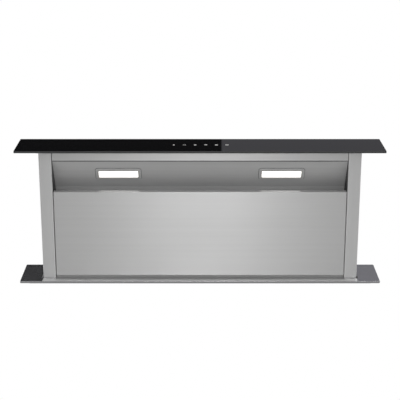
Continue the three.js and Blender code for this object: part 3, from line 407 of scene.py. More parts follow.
def mouldedPlastic(name, color, roughness=0.48, grain=1400):
    look = plasticLook
    material, tree, shader = newFinish(name, color, 0, roughness)
    cloud = noiseOf(tree, look["cloud"], 3)
    shades = (shaded(color, look[key]) for key in ("dark", "light"))
    setInputs(tree, shader, {
        "Base Color": tintOf(tree, rangeOf(tree, cloud, 0, 1), *shades),
        "Roughness": aboutLevel(tree, cloud, roughness, look["gloss"]),
        "Normal": bumpOf(tree, noiseOf(tree, grain, 1), *look["bump"]),
    })
    return material


metalLook = {"rings": (40, 40, 1600), "cloud": 30, "dark": 0.86, "bright": 0.06, "dull": 0.08,
             "bump": (0.00003, 0.4)}


def turnedMetal(name, color, roughness):
    look = metalLook
    material, tree, shader = newFinish(name, color, 1, roughness)
    rings = noiseOf(tree, 1, 2, look["rings"])
    cloud = rangeOf(tree, noiseOf(tree, look["cloud"], 3), 0, 1)
    setInputs(tree, shader, {
        "Base Color": tintOf(tree, cloud, shaded(color, look["dark"]), color),
        "Roughness": rangeOf(tree, rings, roughness - look["bright"], roughness + look["dull"]),
        "Normal": bumpOf(tree, rings, *look["bump"]),
    })
    return material


lensLook = {"color": (0.95, 0.95, 0.93), "roughness": 0.25, "glow": (1, 0.99, 0.97), "cloud": 40,
            "strength": (1.25, 1.35)}


def opalLens():
    look = lensLook
    material, tree, shader = newFinish("opalLens", look["color"], 0, look["roughness"])
    strength = rangeOf(tree, noiseOf(tree, look["cloud"], 2), *look["strength"])
    setInputs(tree, shader, {"Emission Color": look["glow"], "Emission Strength": strength})
    return material


boardLook = {"color": (0.03, 0.13, 0.05), "roughness": 0.4, "tracks": {
    "Scale": 90, "Color1": (0.02, 0.11, 0.04), "Color2": (0.03, 0.14, 0.06), "Mortar": (0.05, 0.22, 0.09)}}


def circuitBoard():
    look = boardLook
    material, tree, shader = newFinish("circuitBoard", look["color"], 0, look["roughness"])
    tracks = addNode(tree, "TexBrick", {"Vector": objectPlace(tree), **look["tracks"]})
    setInputs(tree, shader, {"Base Color": tracks["Color"]})
    return material


rubberLook = {"color": (0.018, 0.018, 0.018), "clean": (0.014, 0.014, 0.014), "dust": 35,
              "dusty": (0.04, 0.039, 0.037), "dustShare": (0.35, 0.75), "roughness": 0.75, "gloss": 0.1,
              "grain": 900, "bump": (0.00008, 0.5)}


def mouldedRubber():
    look = rubberLook
    material, tree, shader = newFinish("mouldedRubber", look["color"], 0, look["roughness"])
    dust = noiseOf(tree, look["dust"], 5)
    shade = rangeOf(tree, dust, 0, 1, *look["dustShare"])
    setInputs(tree, shader, {
        "Base Color": tintOf(tree, shade, look["clean"], look["dusty"]),
        "Roughness": aboutLevel(tree, dust, look["roughness"], look["gloss"]),
        "Normal": bumpOf(tree, noiseOf(tree, look["grain"], 2), *look["bump"]),
    })
    return material


markLook = {"dark": (0.62, 0.62, 0.6), "light": (0.84, 0.84, 0.82), "roughness": 0.5, "grain": 900}


def keyMark():
    look = markLook
    material, tree, shader = newFinish("keyMark", look["dark"], 0, look["roughness"])
    speckle = noiseOf(tree, look["grain"], 2)
    setInputs(tree, shader, {"Base Color": tintOf(tree, speckle, look["dark"], look["light"])})
    return material


def grey(level):
    return (level,) * 3


alongX, alongZ = (1, 0, 0), (0, 0, 1)
finishes = {
    "brushed_steel": brushedSteel("brushedSteel", alongX, grey(0.635), 0.45, 0.9, 0.014),
    "column_steel": brushedSteel("columnSteel", alongZ, grey(0.685), 0.45, 0.9, 0.012, alongX),
    "rail_steel": brushedSteel("railSteel", alongX, grey(0.63), 0.5, 0.88, 0.012),
    "light_steel": brushedSteel("lightSteel", alongX, grey(0.7), 1, 0.1, 0.012),
    "skirt_steel": brushedSteel("skirtSteel", alongX, grey(0.64), 0.8, 0.2, 0.012),
    "frame_steel": polishedFrame(),
    "black_glass": blackGlass(),
    "galvanised": galvanisedSheet(),
    "machined_steel": turnedMetal("machinedSteel", (0.66, 0.67, 0.68), 0.25),
    "bronze": turnedMetal("bearingBronze", (0.55, 0.36, 0.17), 0.35),
    "black_plastic": mouldedPlastic("blackPlastic", (0.028, 0.028, 0.03)),
    "grey_plastic": mouldedPlastic("greyPlastic", (0.4, 0.385, 0.36), 0.4),
    "opal_lens": opalLens(),
    "circuit_board": circuitBoard(),
    "filter_alloy": brushedSteel("filterAlloy", alongZ, (0.7, 0.71, 0.72), 0.4, 0.4, 0.03),
    "motor_black": mouldedPlastic("motorEnamel", (0.035, 0.035, 0.04), 0.35, 700),
    "rubber": mouldedRubber(),
    "key_mark": keyMark(),
    "zinc_plate": turnedMetal("zincPlate", (0.66, 0.68, 0.7), 0.3),
}
# These nodes take a finish that isn't one of the record's slots.
# These nodes keep their shape, and their sheet catches the light in its own way.
nodeFinish = {"light_panel": "light_steel", "head_rail": "rail_steel", "riser_skirt": "skirt_steel"}


def dressNodes():
    slots = {part["node"]: part["material_slot"] for part in frame["record"]["subparts"]}
    for name, node in nodes.items():
        finish = finishes[nodeFinish.get(name, slots[name])]
        node.data.materials.clear()
        node.data.materials.append(finish)


dressNodes()
print("finishes:", len(finishes))


# ---- tools for the pieces, all in millimetres ----

sides = (("left", -1), ("right", 1))
bothSigns = (-1, 1)


def boxOf(name):
    low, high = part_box(name)
    return Vector(low) / mm, Vector(high) / mm


def placeOf(name):
    low, high = boxOf(name)
    return low, high, (low + high) / 2


def middleOf(name):
    return placeOf(name)[2]


def newPiece(name, bm, finish, body, stands=(), bend=32):
    bmesh.ops.scale(bm, vec=(mm, mm, mm), verts=bm.verts)
    finish, *others = [finish] if isinstance(finish, str) else finish
    piece = newObject(name, bm, finishes[finish])
    for other in others:
        piece.data.materials.append(finishes[other])
    piece.data.shade_smooth()
    piece.data.set_sharp_from_angle(angle=math.radians(bend))
    level = piece.modifiers.new("flatFaces", "WEIGHTED_NORMAL")  # keeps the large faces flat beside a bevel
    level.keep_sharp = True
    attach(piece, body)
    if stands:
        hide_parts(*stands)
    return piece


def replaceNode(node, bm, finish, body, bend=32, name=None):  # the piece is named after its node
    first, *others = node.split("_")
    newPiece(name or first + "".join(word.title() for word in others), bm, finish, body, [node], bend)


def addShape(whole, shape, places=(Matrix(),), finish=0):
    for face in shape.faces:
        face.material_index = finish
    mesh = bpy.data.meshes.new("shape")
    shape.to_mesh(mesh)
    shape.free()
    for place in places:
        placed = mesh.copy()
        placed.transform(place)
        whole.from_mesh(placed)
        bpy.data.meshes.remove(placed)
    bpy.data.meshes.remove(mesh)


def at(x=0, y=0, z=0):
    return Matrix.Translation((x, y, z))


def turnBy(degrees, axis="Z"):
    return Matrix.Rotation(math.radians(degrees), 4, axis)


def around(count, start=0):  # even turns about Z
    return [turnBy(360 * (step + start) / count) for step in range(count)]


def facing(place, direction):  # turns +Z to the direction
    turn = Vector(direction).to_track_quat("Z", "Y").to_matrix().to_4x4()
    return Matrix.Translation(place) @ turn


def towardFront(place):  # a loft's width stays along X, its height goes up and its level out to the front
    return Matrix.Translation(place) @ turnBy(90, "X")


def rowOf(start, end, count):
    start, end = Vector(start), Vector(end)
    return [start.lerp(end, step / (count - 1)) for step in range(count)]


def facingRow(start, end, count, direction):
    return [facing(place, direction) for place in rowOf(start, end, count)]


def cornersOf(x, y):
    return [(a * x, b * y) for a in bothSigns for b in bothSigns]


def grown(plan, by):  # a rounded rectangle (width, height, radius) made larger all round
    return plan[0] + 2 * by, plan[1] + 2 * by, plan[2] + by


def roundPlan(width, length=None):  # a circle, or a slot with round ends
    length = width if length is None else length
    return length, width, width / 2 - 0.01


def moved(bm, x=0, y=0, z=0):
    bmesh.ops.translate(bm, vec=(x, y, z), verts=bm.verts)
    return bm


def pointsIn(geometry):
    return [part for part in geometry if isinstance(part, bmesh.types.BMVert)]


def easeEdges(bm, width, segments=2, least=35, where=None):
    bm.normal_update()
    chosen = [edge for edge in bm.edges if len(edge.link_faces) == 2
              and edge.calc_face_angle(0) > math.radians(least) and (where is None or where(edge))]
    bmesh.ops.bevel(bm, geom=chosen, offset=width, offset_type="OFFSET", segments=segments,
                    profile=0.5, affect="EDGES", material=-1, clamp_overlap=True)


def cutFlat(bm, place, along=(1, 0, 0)):  # keeps what lies beyond this place, and closes the cut
    toward = Vector(along)
    sliced = bmesh.ops.bisect_plane(bm, geom=bm.verts[:] + bm.edges[:] + bm.faces[:], dist=0.0001,
                                    plane_co=toward * place, plane_no=-toward, clear_outer=True)
    rims = [part for part in sliced["geom_cut"] if isinstance(part, bmesh.types.BMEdge)]
    bmesh.ops.holes_fill(bm, edges=rims, sides=0)


def blockOf(size, place=(0, 0, 0)):
    bm = bmesh.new()
    bmesh.ops.create_cube(bm, size=1)
    bmesh.ops.scale(bm, vec=size, verts=bm.verts)
    return moved(bm, *place)


def barOf(size, place):  # a bar with broken edges, by its size and middle
    bm = blockOf(size)
    easeEdges(bm, 0.15 * min(size))
    return moved(bm, *place)


def outline(segments, width, height, radius, level, centre=(0, 0)):  # a rounded rectangle
    bm = moved(flatCard(width, height), *centre, level)
    bmesh.ops.bevel(bm, geom=bm.verts[:], offset=max(radius, 0.002), offset_type="OFFSET",
                    segments=segments, profile=0.5, affect="VERTICES", material=-1)
    return bm


# Outlines (width, height, radius, level, and a centre if it isn't 0, 0) joined one to the next. Equal
# outlines are bridged first and then take their own sizes, so that no face is twisted.
def loft(rings, closed=False, segments=6):
    bm = bmesh.new()
    count = len(rings)
    addShape(bm, outline(segments, 2, 2, 0.5, 0), [at(z=0.3 * step) for step in range(count)])
    bmesh.ops.delete(bm, geom=bm.faces[:], context="FACES_ONLY")
    bm.verts.ensure_lookup_table()
    bm.edges.ensure_lookup_table()
    size = len(bm.verts) // count
    loops = [bm.edges[step * size:(step + 1) * size] for step in range(count)]
    points = [bm.verts[step * size:(step + 1) * size] for step in range(count)]
    for low, high in zip(loops, loops[1:]):
        bmesh.ops.bridge_loops(bm, edges=low + high)
    if closed:
        for point in points[-1]:  # next to the first outline for this bridge
            point.co.z = -0.3
        bmesh.ops.bridge_loops(bm, edges=loops[-1] + loops[0])
    else:
        for loop in (loops[0], loops[-1]):
            bmesh.ops.contextual_create(bm, geom=loop)
    for ring, own in zip(rings, points):
        shape = outline(segments, *ring)
        for point, target in zip(own, shape.verts):
            point.co = target.co
        shape.free()
    bmesh.ops.remove_doubles(bm, verts=bm.verts, dist=0.004)
    bmesh.ops.recalc_face_normals(bm, faces=bm.faces)
    return bm


def plateOf(plan, low, high, ease, segments=2):  # a flat plate with rounded corners and eased edges
    bm = loft([(*plan, low), (*plan, high)])
    easeEdges(bm, ease, segments)
    return bm


# A profile of (radius, height) corners turned about Z; a closed one is a ring. A corner's third number is
# its chamfer, which goes that far along the lines to both its neighbours.
def turned(profile, steps, closed=False):
    places = []
    for before, corner, after in zip(profile[-1:] + profile[:-1], profile, profile[1:] + profile[:1]):
        own, chamfer = Vector(corner[:2]), (*corner, 0)[2]
        if chamfer:
            places += [own + chamfer * (Vector(other[:2]) - own).normalized() for other in (before, after)]
        else:
            places.append(own)
    bm = bmesh.new()
    points = [bm.verts.new((radius, 0, height)) for radius, height in places]
    lines = [bm.edges.new(pair) for pair in zip(points, points[1:])]
    if closed:
        lines.append(bm.edges.new((points[-1], points[0])))
    bmesh.ops.spin(bm, geom=points + lines, cent=(0, 0, 0), axis=(0, 0, 1), angle=2 * math.pi,
                   steps=steps, use_merge=True)
    bmesh.ops.remove_doubles(bm, verts=bm.verts, dist=0.0005)
    bmesh.ops.recalc_face_normals(bm, faces=bm.faces)
    return bm


def tube(bore, radius, low, high, steps=32, ease=0):  # a solid pin where the bore is 0
    return turned([(bore, low), (radius, low, ease), (radius, high, ease), (bore, high)], steps, bore > 0)


# Screw thread: its profile over one lead is wound up once, repeated, cut to length and closed.
def threaded(radius, depth, lead, low, high, starts=1, steps=24):
    turn = bmesh.new()
    pitch = lead / starts
    shares = ((depth, 0), (depth, 0.22), (0, 0.45), (0, 0.77))
    profile = [(radius - cut, (start + share) * pitch) for start in range(starts) for cut, share in shares]
    profile.append((radius - depth, lead))
    points = [turn.verts.new((out, 0, low - 2 * lead + height)) for out, height in profile]
    lines = [turn.edges.new(pair) for pair in zip(points, points[1:])]
    bmesh.ops.spin(turn, geom=points + lines, cent=(0, 0, 0), axis=(0, 0, 1), dvec=(0, 0, lead / steps),
                   angle=2 * math.pi, steps=steps, use_merge=False)
    bm = bmesh.new()
    addShape(bm, turn, [at(z=lead * step) for step in range(math.ceil((high - low) / lead) + 3)])
    bmesh.ops.remove_doubles(bm, verts=bm.verts, dist=0.001)
    cutFlat(bm, low, (0, 0, 1))
    cutFlat(bm, -high, (0, 0, -1))
    bmesh.ops.recalc_face_normals(bm, faces=bm.faces)
    return bm


def foldEdges(bm, radius, segments, least=0):  # rounds the folds of a sheet, but not its open edges
    folds = [edge for edge in bm.edges if len(edge.link_faces) == 2 and edge.calc_face_angle(0) >= least]
    bmesh.ops.bevel(bm, geom=folds, offset=radius, offset_type="OFFSET", segments=segments,
                    profile=0.5, affect="EDGES", material=-1)
    bmesh.ops.recalc_face_normals(bm, faces=bm.faces)


# A sheet bent along a wire of (y, z) corners and pulled along X.
def foldedSheet(corners, thick, radius, low, high, segments=5):
    bm = bmesh.new()
    points = [bm.verts.new((low, y, z)) for y, z in corners]
    lines = [bm.edges.new(pair) for pair in zip(points, points[1:])]
    pulled = bmesh.ops.extrude_edge_only(bm, edges=lines)["geom"]
    bmesh.ops.translate(bm, vec=(high - low, 0, 0), verts=pointsIn(pulled))
    foldEdges(bm, radius, segments)
    bmesh.ops.solidify(bm, geom=bm.faces[:], thickness=thick)
    bmesh.ops.recalc_face_normals(bm, faces=bm.faces)
    return bm


# A flat shape gets its thickness from one level to another.
def thickened(bm, low, high):
    bmesh.ops.recalc_face_normals(bm, faces=bm.faces)
    bmesh.ops.solidify(bm, geom=bm.faces[:], thickness=high - low)
    moved(bm, z=low - min(point.co.z for point in bm.verts))
    bmesh.ops.recalc_face_normals(bm, faces=bm.faces)
    return bm


def hexagonNut(radius, low, high):
    bm = bmesh.new()
    bmesh.ops.create_cone(bm, cap_ends=True, segments=6, radius1=radius, radius2=radius, depth=high - low)
    moved(bm, z=(low + high) / 2)
    easeEdges(bm, 0.5, least=70)
    return bm


# A hexagon head on a washer, with a hollow in its top.
screwHead = {"washer": [(0, 0), (4.4, 0), (4.4, 0.5), (3.9, 0.9), (2.7, 1.0), (0, 1.0)], "foot": 3.2,
             "crown": 3.1, "height": 2.2, "middle": 2, "insets": (0.5, 0.7), "hollow": 0.5}


def hexScrew(size=1.0):
    look = screwHead
    bm = turned(look["washer"], 20)
    head = bmesh.new()
    bmesh.ops.create_cone(head, cap_ends=True, segments=6, radius1=look["foot"], radius2=look["crown"],
                          depth=look["height"])
    moved(head, z=look["middle"])
    top = [face for face in head.faces if face.normal.z > 0.9]
    for inset in look["insets"]:
        bmesh.ops.inset_region(head, faces=top, thickness=inset, depth=0)
    bmesh.ops.translate(head, vec=(0, 0, -look["hollow"]),
                        verts=[corner for face in top for corner in face.verts])
    addShape(bm, head)
    bmesh.ops.scale(bm, vec=(size, size, size), verts=bm.verts)
    return bm


def rivet(size=1.0):
    bm = turned([(0, 1.1), (0.9, 1.0), (2.0, 0.75), (2.9, 0), (0, 0)], 14)
    bmesh.ops.scale(bm, vec=(size, size, size), verts=bm.verts)
    return bm


# ---- riser ----

glassTop = {"radius": 2.5, "ease": 0.5, "sunk": 0.06}


def addGlassTop():
    low, high, middle = placeOf("glass_top")
    plan = (high.x - low.x, high.y - low.y, glassTop["radius"])
    bm = plateOf(plan, low.z, high.z - glassTop["sunk"], glassTop["ease"], 3)
    replaceNode("glass_top", moved(bm, middle.x, middle.y), "black_glass", "riser")


# Plain marks over the touch keys: a wedge, a thin ring, a dot, a half disc, two bars, and a ring with a bar.
touchMarks = {"pitch": 25.6, "shift": 1, "back": 0.6, "height": 0.05, "thin": 0.9, "size": 0.86}


def addTouchMarks():
    look = touchMarks
    thick = look["height"]
    y, z = middleOf("touch_board").y + look["back"], boxOf("glass_top")[1].z

    def bar(width, depth, middle):
        return loft([(width, depth, 0.3, level, (0, middle)) for level in (-thick, 0)], segments=2)

    def disc(radius, hole=0):
        return tube(hole, radius, -thick, 0)

    wedge = bmesh.new()
    bmesh.ops.create_cone(wedge, cap_ends=True, segments=3, radius1=4.6, radius2=4.6, depth=thick)
    bmesh.ops.scale(wedge, vec=(0.75, 1.3, 1), verts=wedge.verts)
    moved(wedge, z=-thick / 2)
    half = disc(4.4)
    cutFlat(half, -1.5, (0, 1, 0))
    marks = [[wedge], [disc(4.2, 4.2 - look["thin"])], [disc(3.6)], [half], [bar(8, 3, 2.6), bar(8, 3, -2.6)],
             [disc(4.6, 2.7), bar(2, 5.2, 3.6)]]
    size = Matrix.Diagonal((look["size"], look["size"], 1, 1))
    bm = bmesh.new()
    for step, shapes in enumerate(marks):
        x = (step - (len(marks) - 1) / 2) * look["pitch"] + look["shift"]
        for shape in shapes:
            addShape(bm, shape, [at(x, y, z) @ size])
    newPiece("touchMarks", bm, "key_mark", "riser")


# Each lamp's shells go through these outlines at these levels; some outlines are sunk towards the slot. The
# dark seal ring on the gasket outline is a painted shadow line round the bezel.
lampPlans = {"window": (95, 22.6, 1.6), "lip": (97, 24.6, 2.6), "insert": (99, 28, 2.6),
             "lens": (94.4, 22, 1.4), "crown": (91.9, 19.5, 0.8), "body": (101, 31, 3),
             "bezel": (110, 40, 6.5), "rim": (107.6, 37.6, 5.3), "shadowGasket": (111.6, 41.6, 7.3)}
lamps = {
    "run": 51.5, "fall": 80, "sunk": 1.4, "sunkPlans": ("window", "lip", "insert", "lens", "crown"),
    "housing": [("window", -16), ("window", 1.1), ("lip", 1.9), ("insert", 1.9), ("insert", 0.5),
                ("body", 0.5), ("body", -18)],
    "trim": [("insert", 0.6), ("bezel", 0.6), ("bezel", 1.1), ("rim", 1.8), ("insert", 1.8)],
    # dark ring round the bezel: painted shadow line
    "seal": [("insert", 0.1), ("shadowGasket", 0.1), ("shadowGasket", 0.55), ("insert", 0.55)],
    "glow": [("lens", -1.4), ("lens", 0.9), ("crown", 1.4)],
}


def lampShell(part, closed=False):
    off = (0, -lamps["sunk"])
    return loft([(*lampPlans[plan], level, off if plan in lamps["sunkPlans"] else (0, 0))
                 for plan, level in lamps[part]], closed)


def addLamps():
    tilt = math.degrees(math.atan2(lamps["run"], lamps["fall"]))
    for side, _ in sides:
        place = [Matrix.Translation(middleOf("lamp_lens_" + side)) @ turnBy(tilt + 90, "X")]
        bm = bmesh.new()
        addShape(bm, lampShell("housing"), place)
        addShape(bm, lampShell("trim", True), place, 1)
        # the dark seal ring is a painted shadow line round the bezel
        addShape(bm, lampShell("seal", True), place, 2)
        replaceNode("lamp_housing_" + side, bm, ("grey_plastic", "light_steel", "rubber"), "riser", 40)
        bm = bmesh.new()
        addShape(bm, lampShell("glow"), place)
        replaceNode("lamp_lens_" + side, bm, "opal_lens", "riser", 40)


# A dark moulded cap closes each end of the suction slot, and a thin dark seal lies under the head rail: both
# are dark parts put in as painted shade, the shade at the slot's ends and the shadow line under the rail.
slotEndShades = {"thick": 0.8, "gap": 0.1, "front": 70.4, "back": 121, "low": 915, "topDepth": 2, "ease": 0.2,
            "seal": (704, 1.1, 1.9), "shadowSealAt": 0.8}


def addSlotEndShades():
    look = slotEndShades
    railLow = boxOf("head_rail")[0]
    edge = boxOf("light_panel")[1].x + look["gap"]
    size = (look["thick"], look["back"] - look["front"], railLow.z - look["low"])
    y, z = (look["back"] + look["front"]) / 2, (railLow.z + look["low"]) / 2
    # dark caps at the slot's ends: painted shade
    cap = blockOf(size)
    for corner in cap.verts:
        if corner.co.z > 0 and corner.co.y > 0:
            corner.co.y = look["topDepth"] - size[1] / 2
    easeEdges(cap, look["ease"])
    bm = bmesh.new()
    addShape(bm, cap, [at(sign * (edge + size[0] / 2), y, z) for sign in bothSigns])
    # a thin dark strip under the rail: painted shadow line
    seal = look["seal"]
    addShape(bm, barOf(seal, (0, railLow.y + look["shadowSealAt"], railLow.z - seal[2] / 2)), finish=1)
    newPiece("slotEndShades", bm, ("black_plastic", "rubber"), "riser")


columns = {"width": 31, "radius": 1.8, "wall": 1.2, "clip": (13.6, 24, 2), "clipThick": 2, "clipEase": 0.4,
           "clipX": 347.8, "clipDepth": 14.3, "clipInset": 25, "bore": 5.6, "boreShift": 0.8}


def addColumns():
    look = columns
    panelLow, panelHigh = boxOf("front_panel")
    hole, thick, inset = look["bore"], look["clipThick"], look["clipInset"]
    for side, sign in sides:
        low, high, middle = placeOf("column_" + side)
        x = sign * (max(abs(low.x), abs(high.x)) - look["width"] / 2)
        plan = (look["width"], high.y - low.y, look["radius"])
        bore = grown(plan, -look["wall"])
        bm = bmesh.new()
        rings = [(*plan, low.z), (*plan, high.z), (*bore, high.z), (*bore, low.z)]
        addShape(bm, loft(rings, True, 8), [at(x, middle.y)])
        plate, ring, centre = look["clip"], roundPlan(hole), (-sign * look["boreShift"], 0)
        clip = loft([(*plate, 0), (*plate, thick), (*ring, thick, centre), (*ring, 0, centre)], True)
        easeEdges(clip, look["clipEase"])
        addShape(bm, clip, [towardFront((sign * look["clipX"], low.y + look["clipDepth"] + thick, z))
                            for z in (panelLow.z + inset, panelHigh.z - inset)])
        replaceNode("column_" + side, bm, "column_steel", "riser")


# The front panel is a pan folded on all four sides, with a lip all round its back and four studs.
frontPanel = {"roll": 1.6, "depth": 14, "wall": 1.2, "lip": 11, "studInset": (6, 25), "studSunk": 0.6}


def addFrontPanel():
    look = frontPanel
    low, high, middle = placeOf("front_panel")
    back = low.y + look["depth"]
    bm = blockOf((high.x - low.x, look["depth"], high.z - low.z))
    mouth = [face for face in bm.faces if face.normal.y > 0.9]
    bmesh.ops.inset_region(bm, faces=mouth, thickness=look["lip"], depth=0)
    bmesh.ops.delete(bm, geom=mouth, context="FACES")
    foldEdges(bm, look["roll"], 5, 1)
    moved(bm, 0, back - look["depth"] / 2, middle.z)
    bmesh.ops.solidify(bm, geom=bm.faces[:], thickness=look["wall"])
    stud = turned([(0, 0), (4, 0), (4, 0.8), (2.5, 1), (2.5, 5.4), (2.1, 5.9), (2.5, 6.6), (1.6, 8),
                   (0, 8)], 20)
    across, up = look["studInset"]
    addShape(bm, stud, [facing((x, back - look["studSunk"], middle.z + z), (0, 1, 0))
                        for x, z in cornersOf(high.x - across, (high.z - low.z) / 2 - up)])
    replaceNode("front_panel", bm, "brushed_steel", "panel")


addGlassTop()
addTouchMarks()
addLamps()
addSlotEndShades()
addColumns()
addFrontPanel()
print("riser is dressed")


# ---- worktop frame ----

worktopFrame = {"radius": 2.5, "thick": 5.2, "relief": 1.2, "rim": (836.6, 96.6, 1), "opening": (778, 74, 2),
                "collar": 1.5, "ease": 0.7}


def addWorktopFrame():
    look = worktopFrame
    low, high, middle = placeOf("worktop_frame")
    plan = (high.x - low.x, high.y - low.y, look["radius"])
    opening, rim = look["opening"], look["rim"]
    collar = grown(opening, look["collar"])
    under = high.z - look["thick"]
    relief = under + look["relief"]
    bm = loft([(*plan, high.z), (*plan, under), (*rim, under), (*rim, relief), (*collar, relief),
               (*collar, low.z), (*opening, low.z), (*opening, high.z)], True)
    easeEdges(bm, look["ease"], 3, where=lambda edge: edge.verts[0].co.z > high.z - 0.1
              or abs(edge.verts[0].co.z - under) < 0.1 and abs(edge.verts[0].co.x) > 0.49 * rim[0])
    replaceNode("worktop_frame", moved(bm, middle.x, middle.y), "frame_steel", "chassis")


addWorktopFrame()
print("worktop frame is dressed")


# ---- chassis ----

# Pressed beads stiffen the walls, at these heights. Their section is (inset, level).
wallBeads = {"length": 640, "width": 16, "front": (640, 560, 480), "back": (620, 500, 380, 260, 140),
             "section": ((0, 0), (1.2, 0.5), (2.4, 1.6), (4, 2.3), (6, 2.6))}


def addWallBeads():
    look = wallBeads
    for wall, turn in (("front", 0), ("back", 180)):
        low, high = boxOf("chassis_" + wall)
        y = low.y if wall == "front" else high.y
        plan = roundPlan(look["width"], look["length"])
        bead = loft([(*grown(plan, -inset), level) for inset, level in look["section"]], segments=8)
        bm = bmesh.new()
        addShape(bm, bead, [at(0, y, z) @ turnBy(turn) @ turnBy(90, "X") for z in look[wall]])
        newPiece("beads" + wall.title(), bm, "galvanised", "chassis", bend=50)


# A row is (how far from the middle, height, count); the blower covers the front below the clear part.
chassisFixings = {"insets": (9.5, 36), "low": 96, "high": 682, "count": 8, "panRow": (340, 67.5, 8),
                  "coverRow": (380, 46.5, 5), "clear": 205, "sideInset": 12, "sideLow": 110, "sideHigh": 560,
                  "sideCount": 4}


def addChassisFixings():
    look = chassisFixings
    low, high = boxOf("chassis_front")
    back = boxOf("chassis_back")[1].y
    rivets, screws = [], []
    for y, out in ((low.y, -1), (back, 1)):
        for x in [sign * (high.x - inset) for sign in bothSigns for inset in look["insets"]]:
            rivets += facingRow((x, y, look["low"]), (x, y, look["high"]), look["count"], (0, out, 0))
        for row, kind in (("panRow", rivets), ("coverRow", screws)):
            reach, z, count = look[row]
            kind.extend(facing(place, (0, out, 0)) for place in rowOf((-reach, y, z), (reach, y, z), count)
                        if out > 0 or abs(place.x) > look["clear"])
    for sign in bothSigns:
        for y in (low.y + look["sideInset"], back - look["sideInset"]):
            x, lowest, highest = sign * high.x, look["sideLow"], look["sideHigh"]
            rivets += facingRow((x, y, lowest), (x, y, highest), look["sideCount"], (sign, 0, 0))
    for name, shape, places, bend in (("chassisRivets", rivet(), rivets, 60),
                                      ("chassisScrews", hexScrew(0.85), screws, 32)):
        bm = bmesh.new()
        addShape(bm, shape, places)
        newPiece(name, bm, "zinc_plate", "chassis", bend=bend)


# A small plate over the wiring opening in the front wall.
accessPlate = {"size": (130, 74, 6), "place": (300, 410), "thick": 1.5, "rise": 1.4, "field": (96, 40, 4),
               "top": (92, 36, 3), "ease": 0.3, "gap": 0.05, "screwInset": 9}


def addAccessPlate():
    look = accessPlate
    y = boxOf("chassis_front")[0].y
    x, z = look["place"]
    plan, thick, inset = look["size"], look["thick"], look["screwInset"]
    plate = loft([(*plan, 0), (*plan, thick), (*look["field"], thick), (*look["top"], thick + look["rise"])])
    easeEdges(plate, look["ease"])
    bm = bmesh.new()
    addShape(bm, plate, [towardFront((x, y - look["gap"], z))])
    addShape(bm, hexScrew(0.75), [facing((x + a, y - thick, z + b), (0, -1, 0))
                                  for a, b in cornersOf(plan[0] / 2 - inset, plan[1] / 2 - inset)], 1)
    newPiece("accessPlate", bm, ("galvanised", "zinc_plate"), "chassis")


# Adjustable feet: a rubber pad with a steel stem, a spanner hexagon and a lock nut.
feet = {"padRadius": 22, "padHeight": 14, "stem": (5, 0.7, 1.5), "hexagon": 8.2, "hexHeight": 5, "nut": 9,
        "nutHeight": 6, "nutDown": 5, "ribs": 12, "rib": (7.5, 1.4, 2.2), "ribPlace": (14.5, 0, 8.2),
        "ribSlope": 14}


def addFeet():
    look = feet
    outer, rise = look["padRadius"], look["padHeight"]
    rib = at(*look["ribPlace"]) @ turnBy(look["ribSlope"], "Y")
    for place in ("front_left", "front_right", "back_left", "back_right", "blower_left", "blower_right"):
        node = "foot_" + place
        low, high, middle = placeOf(node)
        top = high.z - look["nutDown"]
        bm = turned([(0, 0.6), (outer - 8, 0.6), (outer - 7, 0), (outer, 0, 1), (outer, 4.6),
                     (outer - 0.8, 6), (outer - 5, 7.6), (13, 9), (10.6, 11), (9.8, rise), (0, rise)], 48)
        addShape(bm, blockOf(look["rib"]), [turn @ rib for turn in around(look["ribs"])])
        addShape(bm, hexagonNut(look["hexagon"], rise, rise + look["hexHeight"]), finish=1)
        addShape(bm, threaded(*look["stem"], rise + 4, high.z), finish=1)
        addShape(bm, hexagonNut(look["nut"], top - look["nutHeight"], top), finish=1)
        replaceNode(node, moved(bm, middle.x, middle.y, low.z), ("rubber", "zinc_plate"), "chassis")


# Worktop clamps: an angle on the chassis with a jack screw and a swivel pad under the worktop.
clamps = {"thick": 3, "leg": 50, "reach": 18, "width": 40, "fold": 3, "screw": (4, 0.6, 1.25),
          "screwInset": 8, "under": 7.5, "nut": 6.6, "nutHeight": 4.4, "padRadius": 8,
          "heads": ((-12, 12), (12, 32))}


def addClamps():
    look = clamps
    thick, pad, half = look["thick"], look["padRadius"], look["width"] / 2
    for side, sign in sides:
        node = "worktop_clamp_" + side
        low, high, middle = placeOf(node)
        inner = min(abs(low.x), abs(high.x)) + thick / 2
        outer, shelf, top = inner + look["reach"], low.z + look["leg"], high.z
        face = shelf + thick / 2
        corners = [(inner, low.z), (inner, shelf), (outer, shelf)]
        angle = foldedSheet(corners, thick, look["fold"], -half, half)
        bm = bmesh.new()
        addShape(bm, angle, [at(0, middle.y) @ turnBy(-90 * sign)])
        foot = turned([(0, top - 4.5), (5, top - 4.5), (pad, top - 2.6), (pad, top, 0.6), (0, top)], 32)
        for shape in (threaded(*look["screw"], shelf - look["under"], top - 3),
                      hexagonNut(look["nut"], face, face + look["nutHeight"]), foot):
            addShape(bm, shape, [at(sign * (outer - look["screwInset"]), middle.y)], 1)
        across, up = look["heads"]
        heads = [facing((sign * (inner + thick / 2), middle.y + y, low.z + z), (sign, 0, 0))
                 for y in across for z in up]
        addShape(bm, hexScrew(0.8), heads, 1)
        replaceNode(node, bm, ("galvanised", "zinc_plate"), "chassis")


addWallBeads()
addChassisFixings()
addAccessPlate()
addFeet()
addClamps()
print("chassis is dressed")


# ---- blower box and outlet ----

